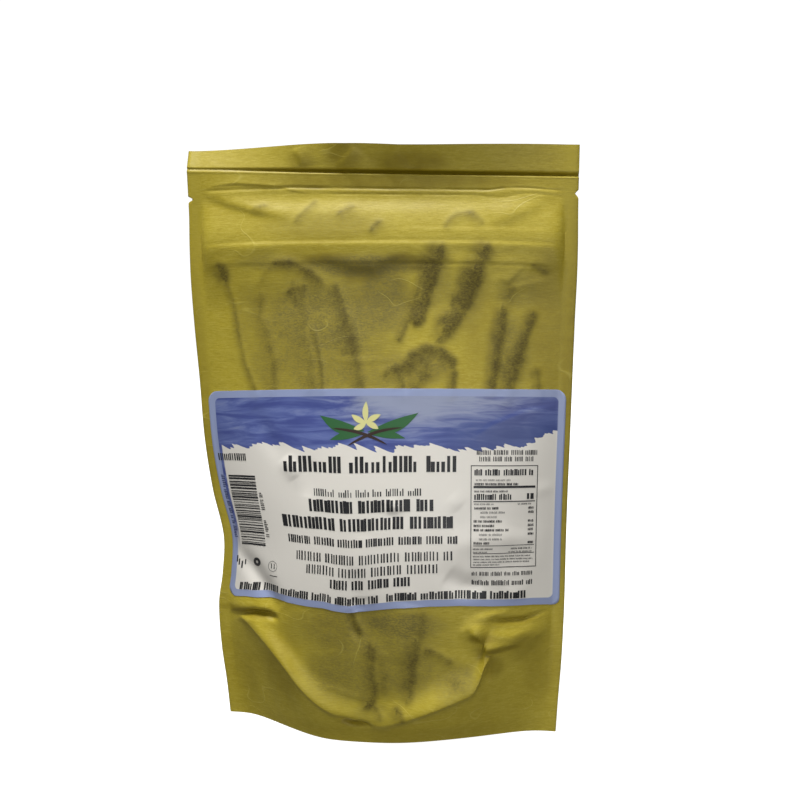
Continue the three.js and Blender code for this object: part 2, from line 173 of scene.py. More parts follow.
# Tear notches in the side edges of the header: height, depth and mouth, left and right.
NOTCHES = ((217.3, 2.2, 2.2), (218.2, 1.3, 3.0))


def smoothstep(value, start, end):
    share = np.clip((value - start) / (end - start), 0, 1)
    return share * share * (3 - 2 * share)


def bell(distance, width):
    return np.exp(-((distance / width) ** 2))


def soft_min(softness, *values):
    return -softness * np.log(sum(np.exp(-value / softness) for value in values))


def smooth_through(table, at):
    """The sizes at some places, on a smooth curve through a table whose first column is the place."""
    places = table[:, 0]
    sizes = table[:, 1:]
    slopes = np.gradient(sizes, axis=0) / np.gradient(places)[:, None]
    at = np.clip(at, places[0], places[-1])
    below = np.clip(np.searchsorted(places, at, side="right") - 1, 0, len(places) - 2)
    step = (places[below + 1] - places[below])[..., None]
    t = (at[..., None] - places[below][..., None]) / step
    start = (2 * t**3 - 3 * t**2 + 1) * sizes[below] + (t**3 - 2 * t**2 + t) * step * slopes[below]
    end = (3 * t**2 - 2 * t**3) * sizes[below + 1] + (t**3 - t**2) * step * slopes[below + 1]
    return np.moveaxis(start + end, -1, 0)


def level_at(z):
    return smooth_through(LEVELS, z)


def seam_height(a):
    return smooth_through(SEAM, a)[0]


def skirt_foot(a, skirt):
    left_end, left_knee, right_knee, right_end, depth = skirt
    left_flap = depth * (a - left_end) / (left_knee - left_end)
    right_flap = depth * (right_end - a) / (right_end - right_knee)
    foot = soft_min(KNEE_SOFTNESS, left_flap, right_flap, depth)
    return -soft_min(1.0, -foot, 0.0)


def beside_line(a, z, line):
    """Distance from each place to a run of straight pieces, + to its left as it is walked, and how far
    along the run the nearest place lies."""
    nearest = np.full(np.broadcast(a, z).shape, np.inf)
    side = np.zeros_like(nearest)
    along = np.zeros_like(nearest)
    for i, ((a0, z0), (a1, z1)) in enumerate(zip(line[:-1], line[1:])):
        da = a1 - a0
        dz = z1 - z0
        share = np.clip(((a - a0) * da + (z - z0) * dz) / (da * da + dz * dz), 0, 1)
        distance = np.hypot(a - a0 - share * da, z - z0 - share * dz)
        closer = distance < nearest
        nearest = np.where(closer, distance, nearest)
        side = np.where(closer, np.sign(da * (z - z0) - dz * (a - a0)), side)
        along = np.where(closer, (i + share) / (len(line) - 1), along)
    return nearest * np.where(side < 0, -1, 1), along


def fold_relief(a, z, folds):
    """Soft folds: each has its line, half-width and height, and dies out towards its ends."""
    relief = 0
    for line, width, height in folds:
        distance, along = beside_line(a, z, line)
        taper = np.sin(math.pi * np.clip(along, 0, 1)) ** 0.5
        relief = relief + height * (0.25 + 0.75 * taper) * bell(distance, width)
    return relief


def pleat_relief(a, z, pleats):
    """Sharp pleats: the film steps up quickly over the line and sinks back slowly on its left."""
    relief = 0
    for line, step, fade, height in pleats:
        distance, along = beside_line(a, z, line)
        taper = np.sin(math.pi * np.clip(along, 0, 1)) ** 0.7
        risen = 1 / (1 + np.exp(np.clip(-distance / step * 4, -60, 60)))
        relief = relief + height * taper * risen * np.exp(-np.maximum(distance, 0) / fade)
    return relief


def zip_relief(a, z):
    """The press-to-close zip: its flange, plainer on the left, and the rib that its two halves make."""
    right_share = smoothstep(a, -15, 15)
    flange = (ZIP_FLANGE + ZIP_FLANGE_RIGHT * right_share) * smoothstep(z, ZIP_LOW - 0.7, ZIP_LOW + 0.7)
    flange = flange + ZIP_ROLL * right_share * bell(z - ZIP_LOW + 1.6, 0.7)
    flange = flange * (1 - smoothstep(z, ZIP_HIGH, ZIP_HIGH + 11))
    upper_edge = ZIP_UPPER_EDGE + ZIP_UPPER_EDGE_RIGHT * smoothstep(a, 0, 30)
    upper_edge = upper_edge * (1 - smoothstep(z, ZIP_HIGH - 0.5, ZIP_HIGH + 0.5))
    upper_edge = upper_edge * smoothstep(z, ZIP_LOW + 2.5, ZIP_HIGH - 1)
    above_rib = z - ZIP_RIB - 0.3
    rib = RIB_HEIGHT * np.where(above_rib > 0, bell(above_rib, 1.0), bell(above_rib, 2.6))
    rib = rib - RIB_GROOVE * bell(above_rib - 1.4, 0.4)
    return flange + upper_edge + rib


def openness(a):
    """1 where the pack is open between its panels, falling to 0 at the side seals."""
    return 1 - np.minimum(1, np.abs(a) / SEALED_AT) ** 6


def stand_out(a, z, panel):
    """How far a panel stands out from the plane of the side seals."""
    level = panel["level"]
    towards_seal = np.minimum(1, np.abs(a) / SEALED_AT)
    crown = 1 - towards_seal**CROWN
    seam = seam_height(a)
    foot = skirt_foot(a, panel["skirt"]) * openness(a)
    above = z - seam
    at_seam = level_at(seam)[level] * crown
    swell = np.where(above < 0, foot + (at_seam - foot) * z / seam, level_at(z)[level] * crown)
    ridge = SEAM_RIDGE * np.where(above < 0, bell(above, RIDGE_BELOW), bell(above, RIDGE_ABOVE))
    lip = np.clip((z - CREASE) / LIP_HEIGHT, 0, 1) * LIP_GAP / 2
    lip = lip + smoothstep(z, CREASE, CREASE + 1) * (LIP_THICKNESS - FIN / 2)
    relief = ridge * panel["ridge"](a) + lip + zip_relief(a, z) + panel["relief"](a, z)
    edge = 1 - smoothstep(np.abs(a), HALF - FIN_ROUND, HALF)
    held = ZIP_HOLD * (1 - smoothstep(z, ZIP_RIB + 1.5, HOLD_TOP)) * smoothstep(z, HOLD_FOOT, ZIP_LOW + 2)
    free = 1 - towards_seal**30
    near_end = towards_seal**5 * smoothstep(z, ZIP_LOW - 5.5, ZIP_RIB + 0.4)
    return FIN / 2 * edge + swell + relief * openness(a) + held * free * (1 + ZIP_END_HOLD * near_end)


def place(a, z, out):
    """Places a point of the film in space, `out` from the plane of the side seals, + to the back."""
    left, right, _, _ = level_at(z)
    for side, (height, depth, mouth) in zip((-1, 1), NOTCHES):
        bite = depth * np.clip(1 - np.abs(z - height) / (mouth / 2), 0, 1)
        beyond = np.maximum(0, side * a - SEALED_AT)
        a = a - side * beyond * bite / SIDE_SEAL
    s = a / HALF
    x = s * np.where(s < 0, left, right)
    twist = -BASE_TWIST * s * (1 - smoothstep(z, 0, TWIST_HEIGHT))
    zip_tilt = ZIP_TILT * smoothstep(z, *ZIP_TILTS)
    tilt = s * (-zip_tilt - HEADER_TILT * smoothstep(z, HEADER_TILTS_FROM, CREASE))
    arch = ROW_ARCH * (1 - s**2) * smoothstep(z, *ARCH_RISES) * (1 - smoothstep(z, *ARCH_FADES))
    drop = ZIP_END_DROP * s**4 * bell(z - ZIP_END_DROPS_AT, 13)
    left_share = 1 - smoothstep(s, -1, LEAN_END)
    lean = LIP_LEAN * left_share
    lip = LIP_STANDING - LIP_TAPER * left_share + LIP_RIGHT_RISE * smoothstep(s, 0, 1)
    lip = lip * np.maximum(0, z - CREASE)
    crease = np.interp(a, *CREASE_GAP) * bell(z - CREASE - 0.1, 0.6)
    crease = crease - CREASE_LINE * bell(z - CREASE + 0.95, 0.4)
    standing = np.minimum(z, CREASE) + tilt + arch - drop
    return np.stack([x, twist + crease + out + lip * np.sin(lean), standing + lip * np.cos(lean)], -1)


def lip_shift(a, z, panel):
    """How much higher a lip stands than its flat height: it sinks as it curls out."""
    lip_share = smoothstep(z, CREASE, CREASE + LIP_HEIGHT) * openness(a)
    return (panel["lip_rise"] - np.interp(a, *LIP_CURL) ** 2 * CURL_SINK) * lip_share


def panel_point(a, z, panel, offset=0.0):
    a, z = np.broadcast_arrays(a, z)
    point = place(a, z, panel["sign"] * (stand_out(a, z, panel) + offset))
    point[..., 2] += lip_shift(a, z, panel)
    return point


# Soft folds of the front: line, half-width and height, + outward.
FRONT_FOLDS = (
    (((-76, 43.8), (-70, 45.2), (-64, 46.9), (-57, 48.6), (-50, 49.0), (-46, 47.8)), 1.4, -4.4),
    (((-68, 51), (-58, 52), (-48, 50.6)), 2.4, 1.0),
    (((46, 50.6), (52, 49.6), (58, 49.2), (68, 51.4)), 1.0, -2.3),
    (((43, 36.8), (47, 37.0), (54, 38.2), (62, 41.0)), 1.6, -2.2),
    (((46, 45), (54, 43.6), (63, 45.4)), 2.0, 1.0),
    (((45, 25), (45.6, 31)), 1.2, -1.2),
    (((-18, 10.4), (-12.5, 8.8), (-5, 8.4)), 1.3, -3.0),
    (((-6, 60), (-4, 38)), 6.0, -1.1),
    (((-12, 53), (-10.5, 46), (-8, 43)), 1.3, -0.9),
    (((12, 58), (8, 34)), 5.0, 0.8),
    (((-58, 196), (-40, 199)), 3.0, 0.4),
    (((-61, 26), (-59, 8)), 3.0, 0.35),
    (((-50, 24), (-47, 6)), 3.4, 0.4),
    (((52, 30), (55, 8)), 5.0, 0.5),
    (((-20, 152.6), (-10, 151.8), (4, 152.0), (12, 153.4)), 0.9, 0.16),
    (((-28, 23.4), (-20, 22.0), (-12, 20.0), (-7, 19.8)), 0.8, 0.24),
    (((24, 5.8), (37, 7.8), (51, 10.0)), 0.8, 0.18),
)
# Sharp pleats of the front: line, width of the step, how far it takes to fade, and height.
FRONT_PLEATS = (
    (((-90, 228), (-78, 222.4), (-70, 218.6), (-60, 215.0), (-48, 211.8), (-34, 209)), 3.6, 9.0, 2.9),
    (((43, 206.6), (50, 208.6), (57, 211.6), (65, 215.6), (80, 222)), 5.0, 9.0, 2.1),
    (((30, 192), (14, 193), (5, 192), (-2, 188), (-10, 188.6), (-20, 191.8), (-34, 194.5)), 4.6, 12.0, -1.9),
    (((53, 54.2), (46.5, 53.6), (40, 52.4), (34, 50)), 1.6, 5.0, 1.3),
    (((45, 47), (41, 48.6), (37, 49), (32, 46.4)), 1.8, 7.0, 1.5),
    (((-33, 236), (-31, 232), (-30.5, 228.6)), 1.6, 5.0, 0.8),
    (((-9, 237), (-12.5, 232.5), (-16, 228.6)), 2.2, 6.0, 1.0),
    (((8, 236), (3, 232), (0, 228.6)), 2.6, 8.0, 0.7),
    (((-71, 219.2), (-65, 221.4), (-57, 222.2), (-46, 221.8), (-38, 221.0), (-28, 218.8)), 0.5, 1.8, 0.6),
    (((50, 183), (50.2, 184), (53, 187), (55.4, 190.4)), 0.6, 2.5, 0.6),
    (((70, 188), (62, 185.4), (52, 182.4), (49.5, 182.6)), 0.6, 2.5, 0.5),
    (((36.6, 46.0), (39.6, 44.4), (42.6, 41), (44, 37.4)), 1.1, 3.5, 2.8),
)
# Pods under the front film: line, half-width and how dark it shows (1 is darkest).
FRONT_PODS = (
    (((-63, 189.5), (-62, 187)), 2.4, 0.75),
    (((-61, 184), (-58.6, 175), (-57.6, 164), (-55.6, 152), (-51, 139)), 1.2, 0.5),
    (((-45.5, 183), (-43, 187), (-39.5, 190.2)), 2.0, 0.3),
    (((-39, 190.6), (-33, 190), (-28.5, 187.4), (-24, 183.6)), 2.0, 0.62),
    (((-48, 178), (-49, 170.4), (-46, 163), (-43.5, 151.5), (-44.2, 141)), 2.2, 0.42),
    (((-31.4, 184), (-30.3, 160)), 1.9, 0.35),
    (((-30, 159), (-28.6, 151), (-28, 142)), 2.6, 0.38),
    (((-26.5, 165), (-24.8, 159), (-23.2, 150), (-22.6, 140)), 0.9, 0.5),
    (((-34, 180), (-29.5, 181.6)), 1.3, 0.6),
    (((-33.6, 184), (-32.8, 176)), 0.9, 0.45),
    (((-17.7, 181), (-15, 172), (-12.5, 165)), 1.9, 0.6),
    (((-13.5, 166), (-12, 161), (-11.2, 157)), 2.6, 0.65),
    (((-11, 155), (-9, 147), (-7.5, 139)), 2.2, 0.5),
    (((22.0, 195.0), (19.4, 190.5)), 3.2, 0.85),
    (((20.2, 189), (17.4, 178), (14.8, 169.5)), 2.4, 1.0),
    (((17, 188), (13.2, 174), (8, 161)), 1.4, 0.6),
    (((39.4, 195.5), (37.4, 191.8), (35.7, 186)), 3.1, 0.75),
    (((36, 187), (33.6, 179.5), (30.4, 172.5), (26.6, 166.6)), 3.0, 1.0),
    (((27, 167), (24.2, 162.6)), 3.2, 0.75),
    (((63.8, 189.5), (60.4, 191.4)), 1.5, 0.5),
    (((49.4, 181), (47.3, 171.9)), 2.6, 0.4),
    (((47.3, 171.9), (46.1, 161.7), (45, 154), (43.6, 141)), 2.1, 0.75),
    (((58.8, 170), (55.4, 160), (53, 152.6)), 1.9, 0.75),
    (((53, 153), (50.8, 146), (48.6, 139)), 2.8, 0.75),
    (((61, 148), (62.6, 139)), 1.6, 0.55),
    (((5, 146.4), (10.5, 148.6), (16, 151)), 2.2, 0.72),
    (((14.5, 153), (19, 155.4), (24.2, 155), (27.6, 151.6)), 2.3, 0.72),
    (((27.6, 151.6), (29, 147), (28, 139)), 1.6, 0.68),
    (((17, 148), (14, 142)), 3.2, 0.55),
    (((8, 145), (9.5, 139)), 1.8, 0.55),
    (((-4.2, 38), (-4.4, 30), (-3.4, 22), (-5.4, 18.6)), 2.4, 0.62),
    (((-0.5, 34), (0, 24)), 2.6, 0.4),
    (((-12, 54.6), (-11.4, 50), (-8.8, 45.6)), 1.5, 0.62),
    (((17, 53), (15.6, 45)), 2.2, 0.45),
    (((14.4, 42), (12.4, 31), (11.2, 21)), 2.3, 0.6),
    (((19.8, 38.6), (24, 37), (28.6, 34.4)), 1.2, 0.5),
    (((30, 26), (33, 24.6)), 2.2, 0.4),
    (((-2.5, 15.2), (-1, 12.6)), 1.3, 0.5),
    (((7, 14.6), (8.4, 12.4)), 1.8, 0.6),
    (((27, 206), (30.6, 209.4), (35.6, 209.8), (38.6, 207.4)), 1.5, 0.45),
    (((-48, 212.6), (-45, 213.4)), 1.3, 0.4),
    (((-31, 208.6), (-25, 214.6)), 1.3, 0.4),
    (((-14, 210.6), (-10.6, 212.4)), 1.5, 0.4),
    (((-1.4, 204.4), (0.4, 206.4)), 1.4, 0.45),
)
# Where a heap of pods dims the film: middle, half-sizes and depth.
FRONT_VEILS = (
    (-22, 168, 31, 20, 0.75),
    (-24, 158, 34, 28, 0.6),
    (-6, 190, 26, 5.5, 0.8),
    (-40, 192, 16, 4, 0.45),
    (-51, 166, 8, 20, 0.35),
    (2, 176, 12, 16, 0.75),
    (-42, 152, 14, 16, 0.5),
    (0, 148, 22, 10, 0.5),
    (20, 150, 10, 8, 0.6),
    (22, 182, 9, 13, 0.4),
    (33, 176, 8, 14, 0.3),
    (54, 180, 9, 9, 0.35),
    (51, 156, 9, 16, 0.6),
    (-20, 206, 26, 6, 0.28),
    (-6, 46, 34, 15, 0.6),
    (-16, 28, 20, 12, 0.6),
    (10, 32, 18, 14, 0.55),
    (28, 28, 8, 9, 0.4),
    (-2, 14, 12, 4, 0.3),
    (33, 28, 10, 6, 0.5),
    (8, 49, 20, 7, 0.85),
)
# Painted shade on the film where it lies in shade: in the crease and under the lips, under the zip, in the
# dents by the seam, low on the flaps and down the side seals. Middle, half-sizes and depth.
FRONT_PAINTED_SHADES = (
    (-20, 192.4, 10, 3.2, 0.9),
    (-6, 187.4, 11, 5.5, 1.0),
    (9, 191.4, 10, 4.2, 0.9),
    (2, 177, 14, 14, 0.6),
    (75, 130, 4, 90, 0.75),
    (-75, 140, 4, 60, 0.4),
    (10, 227, 90, 1.0, 1.2),
    (10, 223.5, 58, 3.4, 0.75),
    (-24, 223, 14, 3.4, 0.6),
    (-30, 231, 6, 5, 0.5),
    (-13, 233, 8, 7, 0.7),
    (12, 231, 16, 5, 0.8),
    (68, 30, 9, 16, 0.5),
    (47, 31, 5, 5, 0.6),
    (-60, 48.4, 16, 2.2, 1.0),
    (-75, 116, 5, 20, 0.6),
    (41.5, 43.5, 6, 2.2, 1.0),
    (50, 38.6, 12, 1.8, 1.0),
    (43.5, 36.5, 4, 3.0, 0.8),
    (-12, 8.6, 8, 1.8, 0.8),
    (56, 49.4, 12, 1.8, 0.6),
    (66, 165, 9, 34, 0.55),
    (40, 166, 8, 20, 0.4),
    (-44, 30, 10, 22, 0.4),
    (0, 3, 70, 5, 0.3),
    (-66, 20, 8, 22, 0.3),
    (62, 38, 9, 8, 0.6),
)
POD_RELIEF = 0.55  # how far a pod presses the front film out
BACK_POD_RELIEF = POD_RELIEF * 1.3
# Across its width a pod presses as a broad soft band with a narrow core towards its right side: strengths,
# and places and reaches as shares of the pod's half-width.
POD_BROAD = 0.62
POD_BROAD_REACH = 1.75
POD_CORE = 0.42
POD_CORE_AT = 0.7
POD_CORE_REACH = 0.85
# The seal's lower edge: depth of its groove, the fine line and the ledge below it, and where they drop.
GROOVE_DEPTH = 0.34
SEAL_LINE = 0.14
SEAL_LEDGE = 0.16
SEAL_DROP = 1.4
SEAL_DROP_AT = 48.0

# Dents and bulges of the label's field, pressed by the pods behind it.
LABEL_DENTS = (
    (((-39, 114), (-34, 106.5)), 3.4, 1.0),
    (((-27, 113), (-29, 99)), 3.6, -0.6),
    (((-76, 79), (-66, 71.5), (-58, 66), (-50.5, 58.5), (-44, 52)), 4.2, -3.2),
    (((-52, 133), (-46, 122), (-38, 112)), 4.0, -0.6),
    (((-12, 70), (-9, 54)), 3.4, -0.6),
    (((-5, 84), (-8, 70)), 4.0, 0.4),
    (((4, 96.5), (8, 95.5)), 2.4, 0.7),
    (((3, 92), (10, 92)), 2.4, -0.4),
    (((28, 69.5), (34, 65), (42, 65)), 4.0, -1.2),
    (((48, 84), (64, 82)), 4.0, 0.7),
    (((78, 103.5), (64, 101.5)), 2.6, 1.1),
    (((30, 81), (44, 83), (58, 80)), 5.0, 0.6),
    (((60, 66), (66, 76), (68, 88)), 4.0, 0.5),
    (((33, 96), (29, 100)), 4.0, 0.4),
    (((57, 88), (52, 70)), 4.5, -0.45),
    (((52, 60), (60, 62)), 3.0, 0.5),
    (((-22, 128), (-30, 138)), 5.0, -0.35),
    (((-8, 136), (0, 118)), 5.0, -0.3),
    (((14, 138), (10, 118)), 5.5, 0.3),
    (((44, 118), (60, 122)), 5.0, -0.4),
)
LABEL_PLEATS = (
    (((78, 137), (68, 135.4), (56, 132.6), (45, 128.0), (37, 122.6)), 0.6, 3.0, 0.4),
)


def pod_press(a, z, pods):
    """How hard the pods press on the film at each place, from 0 to about 1."""
    press = 0
    for line, width, strength in pods:
        distance, along = beside_line(a, z, line)
        lumps = 1 + 0.12 * np.sin(along * 9 + line[0][0]) * np.sin(along * 4.1 + line[0][1])
        broad = POD_BROAD * np.exp(-np.abs(distance / (width * POD_BROAD_REACH * lumps)) ** 3)
        core = POD_CORE * bell(distance - width * POD_CORE_AT, width * POD_CORE_REACH)
        press = np.maximum(press, strength * lumps * (broad + core))
    return press


def seal_edge_relief(a, z):
    """The seal's lower edge: a groove, uneven along its length, a narrow ledge below it and a fine line."""
    below = np.interp(a, *SEAL_EDGE) - z
    groove = GROOVE_DEPTH + 0.1 * np.sin(a * 0.19 + 1.0) + 0.07 * np.sin(a * 0.47)
    line = SEAL_LINE + 0.05 * np.sin(a * 0.31)
    fading = 0.25 + 0.75 * smoothstep(a, -28, -8)
    drop = SEAL_DROP * bell(a - SEAL_DROP_AT, 6)
    ledge = SEAL_LEDGE * bell(below - 1.1 - drop / 2, 0.6 + drop / 3)
    return fading * (ledge - line * bell(below - 2.3 - drop, 0.35)) - groove * bell(below, 0.5)


def front_relief(a, z):
    folds = fold_relief(a, z, FRONT_FOLDS + LABEL_DENTS)
    pleats = pleat_relief(a, z, FRONT_PLEATS + LABEL_PLEATS)
    lip = np.interp(a, *LIP_CURL) * np.clip((z - CREASE) / LIP_HEIGHT, 0, 1) ** 1.2
    relief = folds + pleats + POD_RELIEF * pod_press(a, z, FRONT_PODS)
    return relief + lip + seal_edge_relief(a, z)


# Where the front's seam stands prouder or less proud: middle, half-width and share of the ridge.
RIDGE_CRESTS = ((-42, 18, 1.3), (26, 14, 1.05), (46, 7, 0.4), (-8, 10, -0.45))
BACK_RIDGE = 0.5


def front_ridge(a):
    return 1 + sum(share * bell(a - middle, width) for middle, width, share in RIDGE_CRESTS)


def back_ridge(a):
    return np.full_like(a, BACK_RIDGE)


# A panel's own figures: which of a level's sizes says how far it stands out, the side it stands on, its
# skirt, how much higher its lip stands, its folds and dents, and its share of the seam's ridge.
FRONT = {
    "level": 2,
    "sign": -1,
    "skirt": FRONT_SKIRT,
    "lip_rise": 0.0,
    "relief": front_relief,
    "ridge": front_ridge,
}

# Folds and pods of the back, which lies on no label.
BACK_FOLDS = (
    (((-72, 48), (-58, 50.5), (-42, 51)), 1.9, -1.9),
    (((46, 50), (60, 49.5), (73, 47)), 1.9, -1.8),
    (((-46, 44), (-58, 41)), 2.0, 1.0),
    (((-20, 60), (-34, 26)), 4.0, -1.2),
    (((24, 74), (32, 28)), 4.0, -1.0),
    (((-62, 215), (-34, 207)), 2.6, -0.8),
    (((64, 214), (44, 208)), 2.6, -0.7),
    (((-58, 120), (-44, 96), (-48, 70)), 5.0, -0.8),
    (((10, 112), (22, 92), (14, 70)), 5.0, -0.7),
    (((52, 132), (42, 104)), 4.0, 0.6),
)
BACK_PODS = (
    (((-54, 186), (-52, 170), (-48.5, 154), (-44, 138), (-41, 122), (-39.5, 106), (-36, 92)), 2.2, 0.55),
    (((-37, 94), (-33, 82), (-31.5, 70), (-32, 60)), 2.0, 0.4),
    (((-31, 190), (-33.5, 176), (-33, 162), (-29.5, 148), (-27, 134), (-26, 120)), 1.6, 0.42),
    (((-15, 187), (-12, 172), (-12.5, 158), (-10, 144), (-9.5, 130), (-12, 116)), 2.4, 0.58),
    (((-12, 117), (-16, 102), (-17, 86), (-20.5, 72), (-20, 60)), 2.0, 0.42),
    (((-2, 190.6), (3, 192), (9, 190), (13.5, 185), (15.6, 177), (15, 166), (12.5, 152)), 1.8, 0.5),
    (((21, 184), (17.5, 168), (15, 152), (10.5, 138), (8.5, 124), (10, 110)), 2.3, 0.5),
    (((10, 111), (13, 96), (12.6, 80), (16, 66), (16, 56)), 2.1, 0.4),
    (((37, 189), (38.6, 176), (36, 160), (31.5, 146), (31, 130), (33.5, 114)), 1.8, 0.42),
    (((55, 182), (52.5, 166), (48, 150), (44.5, 134), (39.5, 120), (37.5, 104)), 2.3, 0.55),
    (((37.6, 104), (36.6, 90), (33, 76), (34, 62)), 2.0, 0.42),
    (((-8, 52), (-4.6, 42), (-4.4, 32), (-6, 20)), 2.2, 0.55),
    (((14, 48), (17.4, 38), (22, 30)), 2.0, 0.4),
)
BACK_VEILS = (
    (-32, 150, 24, 44, 0.55),
    (8, 150, 26, 46, 0.6),
    (-4, 84, 38, 40, 0.6),
    (30, 110, 22, 50, 0.5),
    (0, 36, 30, 16, 0.6),
)
BACK_PLEATS = (
    (((-66, 221), (-20, 220), (30, 219.6), (70, 219.6)), 0.7, 2.0, -0.4),
    (((-72, 196), (-40, 190), (-24, 191)), 0.7, 2.5, 0.35),
)


def back_relief(a, z):
    folds = fold_relief(a, z, BACK_FOLDS) + pleat_relief(a, z, BACK_PLEATS)
    return folds + BACK_POD_RELIEF * pod_press(a, z, BACK_PODS)


BACK = {
    "level": 3,
    "sign": 1,
    "skirt": BACK_SKIRT,
    "lip_rise": BACK_LIP_RISE,
    "relief": back_relief,
    "ridge": back_ridge,
}

# Mesh lines: columns across the film, with four of their own on each sealed edge, and rows that crowd
# towards the seam near the floor and run level above it.
COLUMN_STEP = 0.8
FIN_COLUMNS = (72.7, 74.4, 75.7, HALF)
RISE_TOP = 62.0
BODY_TOP = 188.0
SEAL_FOOT = 217.0
LIP_TOP = CREASE + LIP_HEIGHT
FLAP_ROWS = 27
RISE_ROWS = 44
BODY_ROWS = 131
ZIP_ROWS = 48
SEAL_ROWS = 42
LIP_ROWS = 16
SKIRT_ROWS = 8
GUSSET_ROWS = 17
SKIRT_CLEARANCE = 0.03  # each skirt's inner side keeps this far from the plane of the side seals
inner_columns = np.linspace(-SEALED_AT, SEALED_AT, round(2 * SEALED_AT / COLUMN_STEP) + 1)
columns = np.concatenate([-np.array(FIN_COLUMNS[::-1]), inner_columns, FIN_COLUMNS])[:, None]
flap_shares = 1 - np.linspace(1, 0, FLAP_ROWS) ** 1.6
rise_shares = np.linspace(0, 1, RISE_ROWS + 1)[1:] ** 1.4
level_rows = np.concatenate([
    np.linspace(RISE_TOP, BODY_TOP, BODY_ROWS + 1)[1:],
    np.linspace(BODY_TOP, SEAL_FOOT, ZIP_ROWS + 1)[1:],
    np.linspace(SEAL_FOOT, CREASE + 2, SEAL_ROWS + 1)[1:],
    np.linspace(CREASE + 2, LIP_TOP, LIP_ROWS + 1)[1:],
])


def row_heights(a):
    seam = seam_height(a)
    flap = seam * flap_shares
    rise = seam + (RISE_TOP - seam) * rise_shares
    level = np.broadcast_to(level_rows, (len(a), len(level_rows)))
    return np.concatenate([flap, rise, level], axis=1)


def lip_edge(a):
    """The open mouth of the header: down inside the front lip to the factory seal, and up the back lip."""
    open_share = openness(a)
    points = []
    for share, panel in ((1, FRONT), (0.5, FRONT), (0, FRONT), (0.5, BACK), (1, BACK)):
        height = LIP_TOP + (CREASE + SLOT_FOOT - LIP_TOP) * open_share * (1 - share)
        inner = np.maximum(0, stand_out(a, height, panel) - LIP_THICKNESS) * open_share
        point = place(a, height, panel["sign"] * inner * share)
        point[..., 2] += lip_shift(a, LIP_TOP, panel) * share
        points.append(point)
    return np.concatenate(points, axis=1)


def underside(a):
    """From the foot of the back skirt, up under the gusset, and down the inside of the front skirt."""
    hollow = np.abs(a) < FRONT_SKIRT[3] - HOLLOW_INSET
    roof = (seam_height(a) - GUSSET_BELOW_SEAM) * hollow

    def wall(z, panel):
        skirt = FIN / 2 + (SKIRT_THICKNESS - FIN / 2) * openness(a)
        return panel["sign"] * np.maximum(SKIRT_CLEARANCE, stand_out(a, z, panel) - skirt) * hollow

    up_the_wall = np.linspace(0, 1, SKIRT_ROWS)
    points = [place(a, roof * share, wall(roof * share, BACK)) for share in up_the_wall[:-1]]
    for share in np.linspace(0, 1, GUSSET_ROWS):
        across = (1 - share) * wall(roof, BACK) + share * wall(roof, FRONT)
        sag = GUSSET_SAG * math.sin(math.pi * share) * (1 - (a / SEALED_AT) ** 2)
        points.append(place(a, np.maximum(0, roof - sag * hollow), across))
    points += [place(a, roof * share, wall(roof * share, FRONT)) for share in up_the_wall[-2::-1]]
    return np.concatenate(points, axis=1)


def veil_depth(a, z, veils):
    depth = 0
    for middle_a, middle_z, half_a, half_z, strength in veils:
        away = np.hypot((a - middle_a) / half_a, (z - middle_z) / half_z)
        depth = np.maximum(depth, strength * (1 - smoothstep(away, 0.45, 1.25)))
    return depth


# Each column is a closed loop: up the front, over the mouth, down the back with rows twice as far apart,
# and along underneath to where it began.
front_z = row_heights(columns)
back_z = np.concatenate([front_z[:, ::-2], front_z[:, :1]], axis=1)
mouth = lip_edge(columns)
under = underside(columns)
loops = np.concatenate([
    panel_point(columns, front_z, FRONT),
    mouth,
    panel_point(columns, back_z, BACK),
    under,
], axis=1)
loops = np.concatenate([loops, loops[:, :1]], axis=1)


def on_loops(front, back):
    """One value for each corner of the loops: the panels' own, and none on the mouth and underneath."""
    none_on_mouth = np.zeros(mouth.shape[:2])
    none_under = np.zeros(under.shape[:2])
    return np.concatenate([front, none_on_mouth, back, none_under, front[:, :1]], axis=1)


sealed = smoothstep(np.abs(columns), SEALED_AT - 0.4, SEALED_AT + 0.4)
marks = {
    "pods": on_loops(pod_press(columns, front_z, FRONT_PODS), pod_press(columns, back_z, BACK_PODS)),
    "veil": on_loops(veil_depth(columns, front_z, FRONT_VEILS), veil_depth(columns, back_z, BACK_VEILS)),
    # The painted shade, on the front only.
    "painted_shade": on_loops(veil_depth(columns, front_z, FRONT_PAINTED_SHADES), 0 * back_z),
    "seal": on_loops(sealed * smoothstep(front_z, 40, 70), sealed * smoothstep(back_z, 40, 70)),
}

# The form is drawn round the plane of its side seals and moves to where the frame's pouch stands.
pouch_low, pouch_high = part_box("pouch")
pouch_middle = (Vector(pouch_low) + Vector(pouch_high)) / 2
drawn_low = loops.reshape(-1, 3).min(axis=0) * MM
drawn_high = loops.reshape(-1, 3).max(axis=0) * MM
shift = np.array([
    pouch_middle.x - (drawn_low[0] + drawn_high[0]) / 2,
    pouch_middle.y - (drawn_low[1] + drawn_high[1]) / 2,
    pouch_low[2] - drawn_low[2],
])


def to_frame(points):
    return points * MM + shift


JOIN_DISTANCE = 1e-6
SHARP_ANGLE = math.radians(55)


